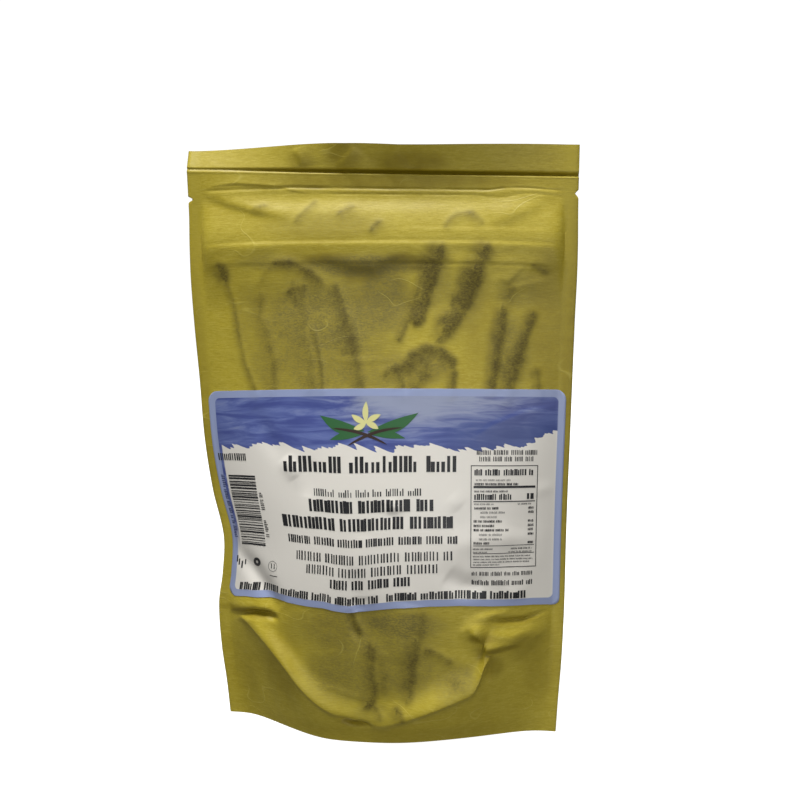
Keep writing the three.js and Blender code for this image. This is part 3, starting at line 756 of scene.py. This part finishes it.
def grid_piece(name, points, values):
    """A piece made from a grid, each of whose corners moves to its point and takes its values. Corners that
    meet are joined."""
    faces_across = points.shape[0] - 1
    faces_up = points.shape[1] - 1
    sheet = bmesh.new()
    bmesh.ops.create_grid(sheet, x_segments=faces_across, y_segments=faces_up, size=0.5)
    layers = {key: sheet.verts.layers.float.new(key) for key in values}
    for vert in sheet.verts:
        i = round((vert.co.x + 0.5) * faces_across)
        j = round((vert.co.y + 0.5) * faces_up)
        for key, layer in layers.items():
            vert[layer] = values[key][i, j]
        vert.co = points[i, j]
    bmesh.ops.remove_doubles(sheet, verts=sheet.verts, dist=JOIN_DISTANCE)
    bmesh.ops.recalc_face_normals(sheet, faces=sheet.faces)
    mesh = bpy.data.meshes.new(name)
    sheet.to_mesh(mesh)
    sheet.free()
    mesh.polygons.foreach_set("use_smooth", [True] * len(mesh.polygons))
    mesh.set_sharp_from_angle(angle=SHARP_ANGLE)
    piece = bpy.data.objects.new(name, mesh)
    bpy.context.collection.objects.link(piece)
    return piece


class Socket:
    """A shader socket that adds Math nodes when it is used in a sum."""

    def __init__(self, tree, socket):
        self.tree = tree
        self.socket = socket

    def _math(self, operation, *others):
        return self.tree.node("ShaderNodeMath", {"operation": operation}, [self, *others])

    def __add__(self, other):
        return self._math("ADD", other)

    def __mul__(self, other):
        return self._math("MULTIPLY", other)

    def __sub__(self, other):
        return self._math("SUBTRACT", other)

    def __rsub__(self, other):
        return self.tree.node("ShaderNodeMath", {"operation": "SUBTRACT"}, [other, self])

    def __truediv__(self, other):
        return self._math("DIVIDE", other)

    __radd__ = __add__
    __rmul__ = __mul__

    def power(self, other):
        return self._math("POWER", other)

    def absolute(self):
        return self._math("ABSOLUTE")

    def larger(self, other):
        return self._math("MAXIMUM", other)

    def smaller(self, other):
        return self._math("MINIMUM", other)

    def ramp(self, start, end, low=0.0, high=1.0):
        settings = {"interpolation_type": "SMOOTHSTEP"}
        values = {"Value": self, "From Min": start, "From Max": end, "To Min": low, "To Max": high}
        return self.tree.node("ShaderNodeMapRange", settings, values)


class Finish:
    """A material whose Principled BSDF starts with the values given."""

    def __init__(self, name, **values):
        self.material = bpy.data.materials.new(name)
        self.material.use_nodes = True
        self.nodes = self.material.node_tree.nodes
        self.links = self.material.node_tree.links
        self.surface = self.nodes["Principled BSDF"]
        for key, value in values.items():
            self.surface.inputs[key.replace("_", " ")].default_value = value

    def set(self, key, value):
        self._feed(self.surface.inputs[key], value)

    def node(self, kind, settings, values, output=0):
        node = self.nodes.new(kind)
        for key, value in settings.items():
            setattr(node, key, value)
        pairs = values.items() if isinstance(values, dict) else enumerate(values)
        for key, value in pairs:
            self._feed(node.inputs[key], value)
        return Socket(self, node.outputs[output])

    def _feed(self, target, value):
        if isinstance(value, Socket):
            self.links.new(value.socket, target)
        else:
            target.default_value = value

    def attribute(self, name):
        return self.node("ShaderNodeAttribute", {"attribute_name": name}, {}, "Fac")

    def on_object(self, stretch=(1, 1, 1)):
        """Coordinates for a pattern that lies still on the piece, multiplied by the factors given."""
        coordinates = self.node("ShaderNodeTexCoord", {}, {}, "Object")
        return self.node("ShaderNodeMapping", {}, {"Vector": coordinates, "Scale": stretch})

    def noise(self, where, scale, detail=2.0, roughness=0.5, distortion=0.0):
        values = {"Vector": where, "Scale": scale, "Detail": detail}
        values["Roughness"] = roughness
        values["Distortion"] = distortion
        return self.node("ShaderNodeTexNoise", {}, values, "Fac")

    def blend(self, share, start, end):
        """A colour between two others."""
        mix = self.nodes.new("ShaderNodeMix")
        mix.data_type = "RGBA"
        self._feed(mix.inputs["Factor"], share)
        for key, value in (("A", start), ("B", end)):
            socket = [s for s in mix.inputs if s.name == key and s.type == "RGBA"][0]
            self._feed(socket, value if isinstance(value, Socket) else (*value, 1))
        return Socket(self, [s for s in mix.outputs if s.type == "RGBA"][0])


GOLD = (0.455, 0.362, 0.029)
GOLD_DEEP = (0.37, 0.28, 0.009)
GOLD_PALE = (0.62, 0.53, 0.11)
# Deep gold for the darker fibres of the weave and for the painted shade.
GOLD_DARK_FIBRE_AND_SHADE = (0.25, 0.185, 0.004)
WELDED = (0.42, 0.335, 0.025)
VEILED = (0.185, 0.15, 0.027)
POD_DARK = (0.085, 0.063, 0.003)
# Heights of the film's fine relief, in metres.
CRINKLE = 0.00022
WEAVE = 0.00006
STRAND = 0.00005

film = Finish("gold rice-paper film", Specular_IOR_Level=0.45)
# The film's own patterns: fine cross fibres, cloudy tone, speckle, blotches, and a few long loose strands,
# which follow the middle value of a broad noise and show only in spots.
weave = film.noise(film.on_object((280, 280, 2200)), 1.0, detail=3.0, roughness=0.65)
cloud = film.noise(film.on_object(), 38.0, detail=3.0)
speckle = film.noise(film.on_object((0.7, 0.7, 1.6)), 1300.0, roughness=0.7)
blotch = film.noise(film.on_object(), 210.0, detail=3.0, roughness=0.6)
strands = film.noise(film.on_object((55, 55, 90)), 1.0, detail=0.0, distortion=0.6)
strand_spots = film.noise(film.on_object(), 48.0, detail=0.0)
strand = (1 - ((strands - 0.5).absolute() * 70.0).smaller(1.0)) * strand_spots.ramp(0.58, 0.70)
grain = speckle - 0.5
# What lies behind the film or is done to it, and where shade is painted on it, from the mesh: pods and veils
# are broken up by the grain.
pods = film.attribute("pods")
veil = film.attribute("veil")
seal = film.attribute("seal")
painted_shade = film.attribute("painted_shade")
pod_share = (pods * (0.45 + blotch * 1.1)).ramp(0.0, 0.88) * (0.86 + grain * 1.2)
veil_share = (veil * (0.55 + blotch * 0.9 + grain * 2.2)).smaller(1.0)
colour = film.blend(cloud.ramp(0.35, 0.7) * 0.45, GOLD, GOLD_DEEP)
colour = film.blend(weave.ramp(0.45, 0.75) * 0.3 + speckle.ramp(0.45, 0.75) * 0.15, colour, GOLD_PALE)
colour = film.blend(weave.ramp(0.5, 0.25) * 0.3 + speckle.ramp(0.55, 0.25) * 0.12, colour, GOLD_DARK_FIBRE_AND_SHADE)
colour = film.blend(seal * 0.6, colour, WELDED)
# Painted shade: the film darkens towards deep gold where it lies in shade, broken up by blotches.
colour = film.blend((painted_shade * (0.35 + blotch * 1.1)).smaller(0.9), colour, GOLD_DARK_FIBRE_AND_SHADE)
colour = film.blend(veil_share, colour, VEILED)
colour = film.blend(pod_share, colour, POD_DARK)
colour = film.blend(strand * 0.36, colour, GOLD_PALE)
film.set("Base Color", colour)
film.set("Roughness", 0.44 + weave * 0.12 + veil * 0.08 + pods.smaller(1.0) * 0.2)
crinkle = film.noise(film.on_object((1, 1, 1.3)), 120.0, detail=3.0, roughness=0.55)
fine_height = crinkle * CRINKLE + weave * WEAVE + strand * STRAND
bump = film.node("ShaderNodeBump", {}, {"Height": fine_height, "Distance": 1.0, "Strength": 1.0})
film.set("Normal", bump)

pouch = grid_piece("film_pouch", to_frame(loops), marks)
pouch.data.materials.append(film.material)
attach(pouch, "root")
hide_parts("pouch")

# ---- The label ----
# A coated paper sticker with rounded corners, stuck across the front panel, so that it takes on the
# panel's swell and dents. It is printed with a pale blue border and a brushed blue wash along its top.

LABEL_WIDTH = 145.0
LABEL_HEIGHT = 88.0
LABEL_LEFT = 0.9 - LABEL_WIDTH / 2
LABEL_BOTTOM = 53.3
LABEL_CORNER = 4.0
LABEL_LIFT = 0.22  # its face stands this far off the film
LABEL_THICKNESS = 0.12
LABEL_STEP = 0.85
LABEL_BORDER = 2.9
BORDER_CORNER = 2.2  # radius of the border's inner corners
PRINT_BLUR = 0.12  # half the width over which one printed colour gives way to the next
# The label was stuck on a little unevenly: how far its upper left corner and its right edge reach further
# out, and how much lower the left end of its top edge lies.
LABEL_LEFT_REACH = 1.1
LABEL_RIGHT_REACH = 0.4
LABEL_TOP_TILT = 0.6
# How far the label's foot rises above its straight line, at places across the label.
LABEL_FOOT = (
    (0, 4, 10, 22, 28, 40, 48, 53, 59, 66, 73, 79, 92, 104, 110, 122, 134, 140, 145),
    (0.3, 0.5, 1.6, 2.4, 2.4, 1.6, 1.4, 0.5, 0.0, 0.7, 2.0, 2.9, 3.7, 3.8, 3.4, 2.6, 1.8, 1.0, -0.3),
)
WASH_FOOT = 65.0  # height of the wash's lower edge, which waves, is torn into teeth and rises at the right
WASH_WAVE = 6.0
WASH_TEETH = 11.0
WASH_RIGHT_RISE = 5.0
WASH_STRIP = 1.5  # width of the wash's narrow strip down the left border
PALE_MIDDLE = 88.0  # the wash is palest here along the top, and deepens again this far to either side
PALE_REACH = 54.0


def label_point(across, up, lift=0.0):
    """A point of the label's face, measured from the label's lower left corner."""
    height = up / LABEL_HEIGHT
    share = across / LABEL_WIDTH
    reach = LABEL_RIGHT_REACH * share**2 - LABEL_LEFT_REACH * (1 - share) * smoothstep(height, 0.2, 0.8)
    rise = np.interp(across, *LABEL_FOOT) * (1 - height) ** 1.5
    rise = rise - LABEL_TOP_TILT * height**2 * (1 - 1.6 * share**3)
    z = LABEL_BOTTOM + up + rise
    return to_frame(panel_point(LABEL_LEFT + across + reach, z, FRONT, LABEL_LIFT + lift))


corner_rows = LABEL_CORNER * (1 - np.cos(np.linspace(0, math.pi / 2, 8)))
middle_rows = np.linspace(LABEL_CORNER, LABEL_HEIGHT - LABEL_CORNER, round(LABEL_HEIGHT / LABEL_STEP))
up = np.concatenate([corner_rows[:-1], middle_rows, LABEL_HEIGHT - corner_rows[-2::-1]])[None, :]
from_end = np.minimum(up, LABEL_HEIGHT - up)
inset = LABEL_CORNER - np.sqrt(LABEL_CORNER**2 - np.maximum(0, LABEL_CORNER - from_end) ** 2)
share = np.linspace(0, 1, round(LABEL_WIDTH / LABEL_STEP) + 1)[:, None]
across = inset + share * (LABEL_WIDTH - 2 * inset)
up = np.broadcast_to(up, across.shape)
label = grid_piece("paper_label", label_point(across, up), {"across": across, "up": up})
thickness = label.modifiers.new("paper", "SOLIDIFY")
thickness.thickness = LABEL_THICKNESS * MM
thickness.offset = -1

PAPER = (0.80, 0.765, 0.69)
BORDER_BLUE = (0.305, 0.36, 0.56)
WASH_DEEP = (0.06, 0.082, 0.28)
WASH_RICH = (0.032, 0.062, 0.235)
WASH_MID = (0.13, 0.175, 0.42)
WASH_PALE = (0.31, 0.345, 0.47)

paper = Finish("coated label paper", Roughness=0.36)
paper_across = paper.attribute("across")
paper_up = paper.attribute("up")
flat = paper.node("ShaderNodeCombineXYZ", {}, {"X": paper_across, "Y": paper_up})


def stretched(vector, x, y):
    return paper.node("ShaderNodeMapping", {}, {"Vector": vector, "Scale": (x, y, 1)})


# The border follows the label's edge, with round corners inside too.
beside = (paper_across - LABEL_WIDTH / 2).absolute() - (LABEL_WIDTH / 2 - LABEL_BORDER - BORDER_CORNER)
above = (paper_up - LABEL_HEIGHT / 2).absolute() - (LABEL_HEIGHT / 2 - LABEL_BORDER - BORDER_CORNER)
round_part = (beside.larger(0.0).power(2.0) + above.larger(0.0).power(2.0)).power(0.5)
border = (round_part + beside.larger(above).smaller(0.0) - BORDER_CORNER).ramp(-PRINT_BLUR, PRINT_BLUR)
# The wash: brushed across, palest along the top right of the middle, deeper in colour at the lower right,
# and torn along its foot in slanting strokes.
slanted = paper.node("ShaderNodeCombineXYZ", {}, {"X": paper_across + paper_up * 1.5})
waves = paper.noise(stretched(flat, 0.06, 0.0), 1.0, detail=0.0)
bristles = paper.noise(stretched(slanted, 0.17, 0.0), 1.0)
wash_foot = WASH_FOOT + (waves - 0.5) * WASH_WAVE + (bristles - 0.5) * WASH_TEETH
wash_foot = wash_foot + paper_across.ramp(122, 142, 0.0, WASH_RIGHT_RISE)
side_strip = (LABEL_BORDER + WASH_STRIP - paper_across).ramp(-0.3, 0.3) * paper_up.ramp(18, 34)
wash = (paper_up - wash_foot).ramp(-PRINT_BLUR, PRINT_BLUR).larger(side_strip)
strokes = paper.noise(stretched(flat, 0.045, 0.3), 1.0, detail=4.0, roughness=0.6, distortion=0.6)
clouds = paper.noise(stretched(flat, 0.03, 0.09), 1.0)
topmost = paper_up.ramp(66, 86) * (1 - ((paper_across - PALE_MIDDLE) / PALE_REACH).absolute()).larger(0.0)
pale = (topmost * 1.4 + (clouds - 0.5) * 0.7 + (strokes - 0.5) * 2.4).ramp(0.1, 1.1)
wash_colour = paper.blend(strokes.ramp(0.36, 0.66), WASH_DEEP, WASH_MID)
rich = paper_across.ramp(84, 114) * paper_up.ramp(82, 70)
wash_colour = paper.blend(rich * 0.75, wash_colour, WASH_RICH)
wash_colour = paper.blend(pale * 0.95 * (1 - rich * 0.6), wash_colour, WASH_PALE)
face = paper.blend(wash, PAPER, wash_colour)
face = paper.blend(border, face, BORDER_BLUE)
paper.set("Base Color", face)
label.data.materials.append(paper.material)
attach(label, "root")
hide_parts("label")

# ---- The print on the label ----
# Ink printed on the label's face: plain bars grouped like lines of words, a striped block, a ruled table,
# and a sprig of vanilla flower, leaves and pods in the middle of the wash.

INK_LIFT = 0.08
OVERPRINT = 0.05  # each ink that lies on another stands this much higher
INK_THICKNESS = 0.02
PRINT_STEP = 1.1
TALL_SHARE = 0.6  # of the bars in a row
ROW_PITCH = 0.33  # from bar to bar, as a share of the row's height
WORD_GAP = 1.3  # in pitches
UPRIGHT_STROKE = 0.36
UPRIGHT_GAP = 0.7
UPRIGHT_LOW = 0.7  # share of the row's width that its shorter bars have
BLACK_INK = (0.012, 0.012, 0.014)
NAVY_INK = (0.03, 0.04, 0.16)
LEAF_GREEN = (0.03, 0.13, 0.04)
POD_BROWN = (0.035, 0.018, 0.012)
PETAL_YELLOW = (0.72, 0.69, 0.30)
ink_draws = random.Random(11)


def printed(name, sheet, colour, lift=INK_LIFT):
    """Lays a flat print on the label's face and gives it its ink."""
    flat_spots = np.array([vert.co for vert in sheet.verts])
    for vert, spot in zip(sheet.verts, label_point(flat_spots[:, 0], flat_spots[:, 1], lift)):
        vert.co = spot
    mesh = bpy.data.meshes.new(name)
    sheet.to_mesh(mesh)
    sheet.free()
    piece = bpy.data.objects.new(name, mesh)
    bpy.context.collection.objects.link(piece)
    ink = Finish(name, Base_Color=(*colour, 1), Roughness=0.42)
    mesh.materials.append(ink.material)
    thickness = piece.modifiers.new("ink", "SOLIDIFY")
    thickness.thickness = INK_THICKNESS * MM
    thickness.offset = -1
    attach(piece, "root")


def bar(sheet, left, foot, width, height):
    """A printed rectangle, with enough faces to follow the label."""
    steps = [max(1, math.ceil(side / PRINT_STEP)) for side in (width, height)]
    middle = Matrix.Translation((left + width / 2, foot + height / 2, 0))
    spot = middle @ Matrix.Diagonal((width, height, 1, 1))
    bmesh.ops.create_grid(sheet, x_segments=steps[0], y_segments=steps[1], size=0.5, matrix=spot)


def word_row(sheet, left, right, foot, height, weight, letters, low=0.86):
    """A row of upright bars of two heights, grouped like words: a bar's weight is its share of the pitch,
    and `low` is the share of the height that the lower bars have."""
    pitch = height * ROW_PITCH
    x = left
    while x < right - pitch:
        for _ in range(ink_draws.randint(*letters)):
            if x > right - pitch * weight:
                break
            tall = ink_draws.random() < TALL_SHARE
            stroke = pitch * weight * ink_draws.uniform(0.8, 1.2)
            bar(sheet, x, foot, stroke, height if tall else height * low)
            x += pitch * ink_draws.uniform(0.8, 1.25)
        x += pitch * WORD_GAP


def upright_row(sheet, left, foot, top, width):
    """A row that is read from below, up the side of the label."""
    y = foot
    while y < top - 0.5:
        for _ in range(ink_draws.randint(2, 7)):
            tall = ink_draws.random() < TALL_SHARE
            bar(sheet, left, y, width if tall else width * UPRIGHT_LOW, UPRIGHT_STROKE)
            y += ink_draws.uniform(0.65, 0.85)
        y += UPRIGHT_GAP


# Rows of words: left, right, foot, height, weight, letters in a word, and height of the lower bars. First
# the title and the seven lines under it, then the two foot rows, the row at the upper left, the two over
# the table and the two under it.
black = bmesh.new()
for left, right, foot, height, weight, letters, low in (
    (33.0, 108.6, 55.2, 6.4, 0.64, (5, 14), 0.64),
    (45.4, 89.4, 45.8, 2.9, 0.5, (3, 10), 0.66),
    (42.8, 94.0, 39.6, 4.9, 0.76, (10, 14), 0.94),
    (29.6, 104.4, 32.6, 4.9, 0.76, (9, 16), 0.94),
    (31.4, 103.8, 26.3, 3.2, 0.66, (5, 14), 0.92),
    (35.0, 101.6, 19.4, 3.8, 0.5, (9, 16), 0.94),
    (39.8, 96.4, 14.2, 3.8, 0.5, (9, 15), 0.94),
    (50.8, 85.8, 9.2, 3.8, 0.7, (3, 7), 0.94),
    (5.8, 72.0, 3.0, 3.3, 0.7, (5, 12), 0.8),
    (75.0, 131.0, 3.2, 3.3, 0.74, (9, 24), 0.8),
    (1.8, 16.2, 58.9, 3.0, 0.6, (16, 16), 0.92),
    (110.6, 134.8, 62.1, 1.9, 0.58, (4, 9), 0.92),
    (111.6, 133.7, 59.5, 1.9, 0.58, (4, 10), 0.92),
    (108.9, 133.8, 12.9, 1.7, 0.58, (4, 11), 0.8),
    (108.9, 133.8, 8.9, 2.1, 0.62, (6, 11), 0.8),
):
    word_row(black, left, right, foot, height, weight, letters, low)
# The striped block on the left, with two small columns of marks beside it.
BLOCK_LEFT = 5.5
BLOCK_WIDTH = 13.6
BLOCK_FOOT = 23.0
BLOCK_TOP = 53.0
y = BLOCK_FOOT
while y < BLOCK_TOP:
    stripe = ink_draws.choice((0.3, 0.3, 0.5, 0.75))
    bar(black, BLOCK_LEFT, y, BLOCK_WIDTH, stripe)
    y += stripe + ink_draws.choice((0.3, 0.45, 0.7))
for foot, top in ((27.0, 34.5), (38.5, 46.0)):
    upright_row(black, BLOCK_LEFT + BLOCK_WIDTH + 0.8, foot, top, 1.7)
# The ruled table on the right: its frame, its rules (foot and height), and two bold figures.
TABLE_LEFT = 108.4
TABLE_FOOT = 16.3
TABLE_WIDTH = 26.4
TABLE_HEIGHT = 41.6
TABLE_LINE = 0.3
for left in (TABLE_LEFT, TABLE_LEFT + TABLE_WIDTH - TABLE_LINE):
    bar(black, left, TABLE_FOOT, TABLE_LINE, TABLE_HEIGHT)
for foot in (TABLE_FOOT, TABLE_FOOT + TABLE_HEIGHT - TABLE_LINE):
    bar(black, TABLE_LEFT, foot, TABLE_WIDTH, TABLE_LINE)
for foot, height in ((48.8, 0.9), (43.2, 0.4), (25.4, 0.25), (22.1, 0.25)):
    bar(black, TABLE_LEFT + 1.1, foot, TABLE_WIDTH - 2.0, height)
for left, width in ((130.6, 0.9), (132.0, 1.3)):
    bar(black, left, 44.2, width, 2.4)
# Its rows of marks: left, right, foot, height and weight.
for left, right, foot, height, weight in (
    (109.8, 133.2, 53.9, 2.5, 0.75), (110.4, 124.0, 51.6, 0.8, 0.4), (109.9, 127.0, 49.9, 1.0, 0.7),
    (109.8, 123.0, 47.1, 0.8, 0.6), (109.8, 125.0, 44.1, 2.4, 0.75), (109.8, 117.5, 42.0, 0.7, 0.4),
    (127.0, 132.5, 42.0, 0.7, 0.5), (109.8, 119.5, 40.2, 1.0, 0.7), (112.2, 122.0, 38.5, 0.9, 0.4),
    (112.2, 119.0, 36.7, 0.9, 0.4), (109.6, 121.0, 34.9, 1.0, 0.7), (109.6, 118.0, 33.1, 1.0, 0.7),
    (109.6, 123.5, 31.4, 1.0, 0.7), (111.8, 121.0, 29.6, 0.9, 0.4), (111.8, 121.0, 27.8, 0.9, 0.4),
    (109.6, 116.0, 26.1, 1.0, 0.7), (109.4, 117.5, 23.8, 0.7, 0.5), (124.5, 133.0, 23.8, 0.7, 0.5),
    (109.4, 115.0, 22.5, 0.6, 0.5), (123.5, 133.0, 22.5, 0.6, 0.5), (109.4, 132.5, 20.7, 0.6, 0.5),
    (109.4, 133.5, 19.5, 0.6, 0.5), (109.4, 132.0, 18.3, 0.6, 0.5), (109.4, 120.0, 17.2, 0.6, 0.5),
):
    word_row(black, left, right, foot, height, weight, (4, 14))
for foot in (40.2, 38.5, 34.9, 33.1, 31.4, 29.6, 26.1):
    word_row(black, 131.2, 133.6, foot, 1.0, 0.7, (4, 14))


def ring(sheet, across, up, outer, inner):
    """A printed ring."""
    grid = bmesh.ops.create_grid(sheet, x_segments=20, y_segments=1, size=0.5)
    for vert in grid["verts"]:
        turn = 2 * math.pi * vert.co.x
        radius = inner + (outer - inner) * (vert.co.y + 0.5)
        vert.co = (across + radius * math.cos(turn), up + radius * math.sin(turn), 0)


# Small marks in the lower left corner: four ticks, a disc with a hole, and a ring with two strokes inside
# and a short line below.
for left, foot, width, height in (
    (2.6, 15.0, 0.7, 2.8), (3.8, 13.8, 0.7, 2.6), (5.4, 12.4, 0.8, 3.0), (7.2, 13.8, 0.6, 2.2),
):
    bar(black, left, foot, width, height)
ring(black, 14.2, 15.4, 2.1, 0.7)
ring(black, 23.0, 14.6, 2.3, 2.15)
bar(black, 22.2, 13.6, 0.4, 2.2)
bar(black, 23.6, 13.6, 0.4, 2.2)
bar(black, 21.6, 10.2, 4.0, 0.3)
printed("black_print", black, BLACK_INK)

# A dark blue row up the left border.
navy = bmesh.new()
upright_row(navy, 1.5, 26.0, 50.0, 1.9)
printed("navy_print", navy, NAVY_INK)


def blade(sheet, start, end, half_width, bend, blunt=1.0):
    """A printed leaf, petal or pod: pointed at both ends, and bent to its left by `bend` in the middle."""
    grid = bmesh.ops.create_grid(sheet, x_segments=12, y_segments=2, size=0.5)
    start = Vector(start)
    end = Vector(end)
    side = Vector((start.y - end.y, end.x - start.x)).normalized()
    for vert in grid["verts"]:
        along = vert.co.x + 0.5
        bulge = math.sin(math.pi * along)
        out = bend * bulge + 2 * vert.co.y * half_width * bulge**blunt
        spot = start.lerp(end, along) + side * out
        vert.co = (spot.x, spot.y, 0)


# The sprig: a pale flower over two long and two short leaves, with a pair of crossed pods below.
FLOWER_MIDDLE = Vector((67.5, 74.5))
green = bmesh.new()
brown = bmesh.new()
petals = bmesh.new()
for start, end, half_width, bend in (
    ((67, 71.5), (49, 77.5), 2.4, 1.6), ((68, 71.0), (88, 78.5), 2.4, -1.6),
    ((66, 70.0), (53, 68.0), 1.5, -0.8), ((69, 70.0), (83, 68.5), 1.5, 0.8),
):
    blade(green, start, end, half_width, bend)
for start, end, bend in (((54, 72.6), (76, 66.0), 1.4), ((82, 72.8), (60, 65.8), -1.4)):
    blade(brown, start, end, 0.6, bend, 0.5)
for turn, length in ((90, 8.4), (150, 6.6), (30, 6.6), (205, 5.4), (335, 5.4)):
    away = Vector((math.cos(math.radians(turn)), math.sin(math.radians(turn))))
    blade(petals, FLOWER_MIDDLE, FLOWER_MIDDLE + away * length, 1.15, 0.3, 0.8)
printed("sprig_leaves", green, LEAF_GREEN)
printed("sprig_pods", brown, POD_BROWN, INK_LIFT + OVERPRINT)
printed("sprig_flower", petals, PETAL_YELLOW, INK_LIFT + 2 * OVERPRINT)

# ---- Floor and backdrop ----
# A pale paper sweep: a round floor that curves up into a wall all round. It glows evenly, so that it
# shows white, and neither its glow nor its reflection falls on the pouch.

FLOOR_RADIUS = 3.0
WALL_HEIGHT = 3.0
WALL_BEND = 0.8
sweep = bmesh.new()
profile = [Vector((0, 0, 0))]
profile += [
    Vector((FLOOR_RADIUS - WALL_BEND + WALL_BEND * math.sin(turn), 0, WALL_BEND - WALL_BEND * math.cos(turn)))
    for turn in np.linspace(0, math.pi / 2, 13)
]
profile.append(Vector((FLOOR_RADIUS, 0, WALL_HEIGHT)))
rim = [sweep.verts.new(point) for point in profile]
for first, second in zip(rim[:-1], rim[1:]):
    sweep.edges.new((first, second))
outline = sweep.verts[:] + sweep.edges[:]
full_turn = 2 * math.pi
bmesh.ops.spin(sweep, geom=outline, cent=(0, 0, 0), axis=(0, 0, 1), angle=full_turn, steps=64, use_merge=True)
bmesh.ops.remove_doubles(sweep, verts=sweep.verts, dist=JOIN_DISTANCE)
bmesh.ops.recalc_face_normals(sweep, faces=sweep.faces)
sweep_mesh = bpy.data.meshes.new("floor and backdrop")
sweep.to_mesh(sweep_mesh)
sweep.free()
sweep_mesh.polygons.foreach_set("use_smooth", [True] * len(sweep_mesh.polygons))
floor = bpy.data.objects.new("floor and backdrop", sweep_mesh)
bpy.context.collection.objects.link(floor)
pale_sheet = Finish(
    "pale sheet",
    Base_Color=(0.38, 0.38, 0.38, 1),
    Roughness=0.9,
    Emission_Color=(1, 1, 1, 1),
    Emission_Strength=0.95,
)
sweep_mesh.materials.append(pale_sheet.material)
floor.visible_diffuse = False
floor.visible_glossy = False
floor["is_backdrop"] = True

# ---- Camera and light ----
# The camera stands close, a little to the right of the pouch and a little above its middle. A broad soft
# light hangs high in front, with a weaker one before the pouch, one low at the right and one behind it.

AZIMUTH = math.radians(6.66)
ELEVATION = math.radians(8.14)
CAMERA_DISTANCE = 0.3492
CAMERA_ROLL = math.radians(-0.79)
CAMERA_AIM = (7.12, 0.0, 137.64)  # in millimetres, as the pouch is drawn
LENS = 39.15
LIGHTS_AIM = Vector((0, 0, 0.12))

camera = bpy.data.objects.new("camera", bpy.data.cameras.new("camera"))
bpy.context.collection.objects.link(camera)
camera.data.sensor_width = 36
camera.data.lens = LENS
camera.data.clip_start = 0.01
aim = Vector(to_frame(np.array(CAMERA_AIM)))
to_camera = Vector((
    math.sin(AZIMUTH) * math.cos(ELEVATION),
    -math.cos(AZIMUTH) * math.cos(ELEVATION),
    math.sin(ELEVATION),
))
camera.location = aim + to_camera * CAMERA_DISTANCE
roll = Matrix.Rotation(CAMERA_ROLL, 4, "Z")
camera.rotation_mode = "QUATERNION"
camera.rotation_quaternion = (to_camera.to_track_quat("Z", "Y").to_matrix().to_4x4() @ roll).to_quaternion()
bpy.context.scene.camera = camera


def soft_light(name, where, size, power):
    lamp = bpy.data.lights.new(name, "AREA")
    lamp.shape = "RECTANGLE"
    lamp.size, lamp.size_y = size
    lamp.energy = power
    light = bpy.data.objects.new(name, lamp)
    light.location = where
    light.rotation_mode = "QUATERNION"
    light.rotation_quaternion = (Vector(where) - LIGHTS_AIM).to_track_quat("Z", "Y")
    bpy.context.collection.objects.link(light)


soft_light("overhead light", (-0.2, -0.32, 1.55), (0.6, 0.4), 27)
soft_light("front light", (0.1, -1.5, 1.1), (1.2, 0.6), 3.0)
soft_light("low fill", (0.35, -0.85, 0.06), (0.8, 0.1), 1.7)
soft_light("back fill", (0.5, 1.5, 0.9), (1.0, 0.8), 12)

world = bpy.data.worlds.new("soft surroundings")
world.use_nodes = True
world.node_tree.nodes["Background"].inputs["Color"].default_value = (1, 1, 1, 1)
world.node_tree.nodes["Background"].inputs["Strength"].default_value = 0.2
bpy.context.scene.world = world
bpy.context.scene.view_settings.view_transform = "Standard"

low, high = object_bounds()
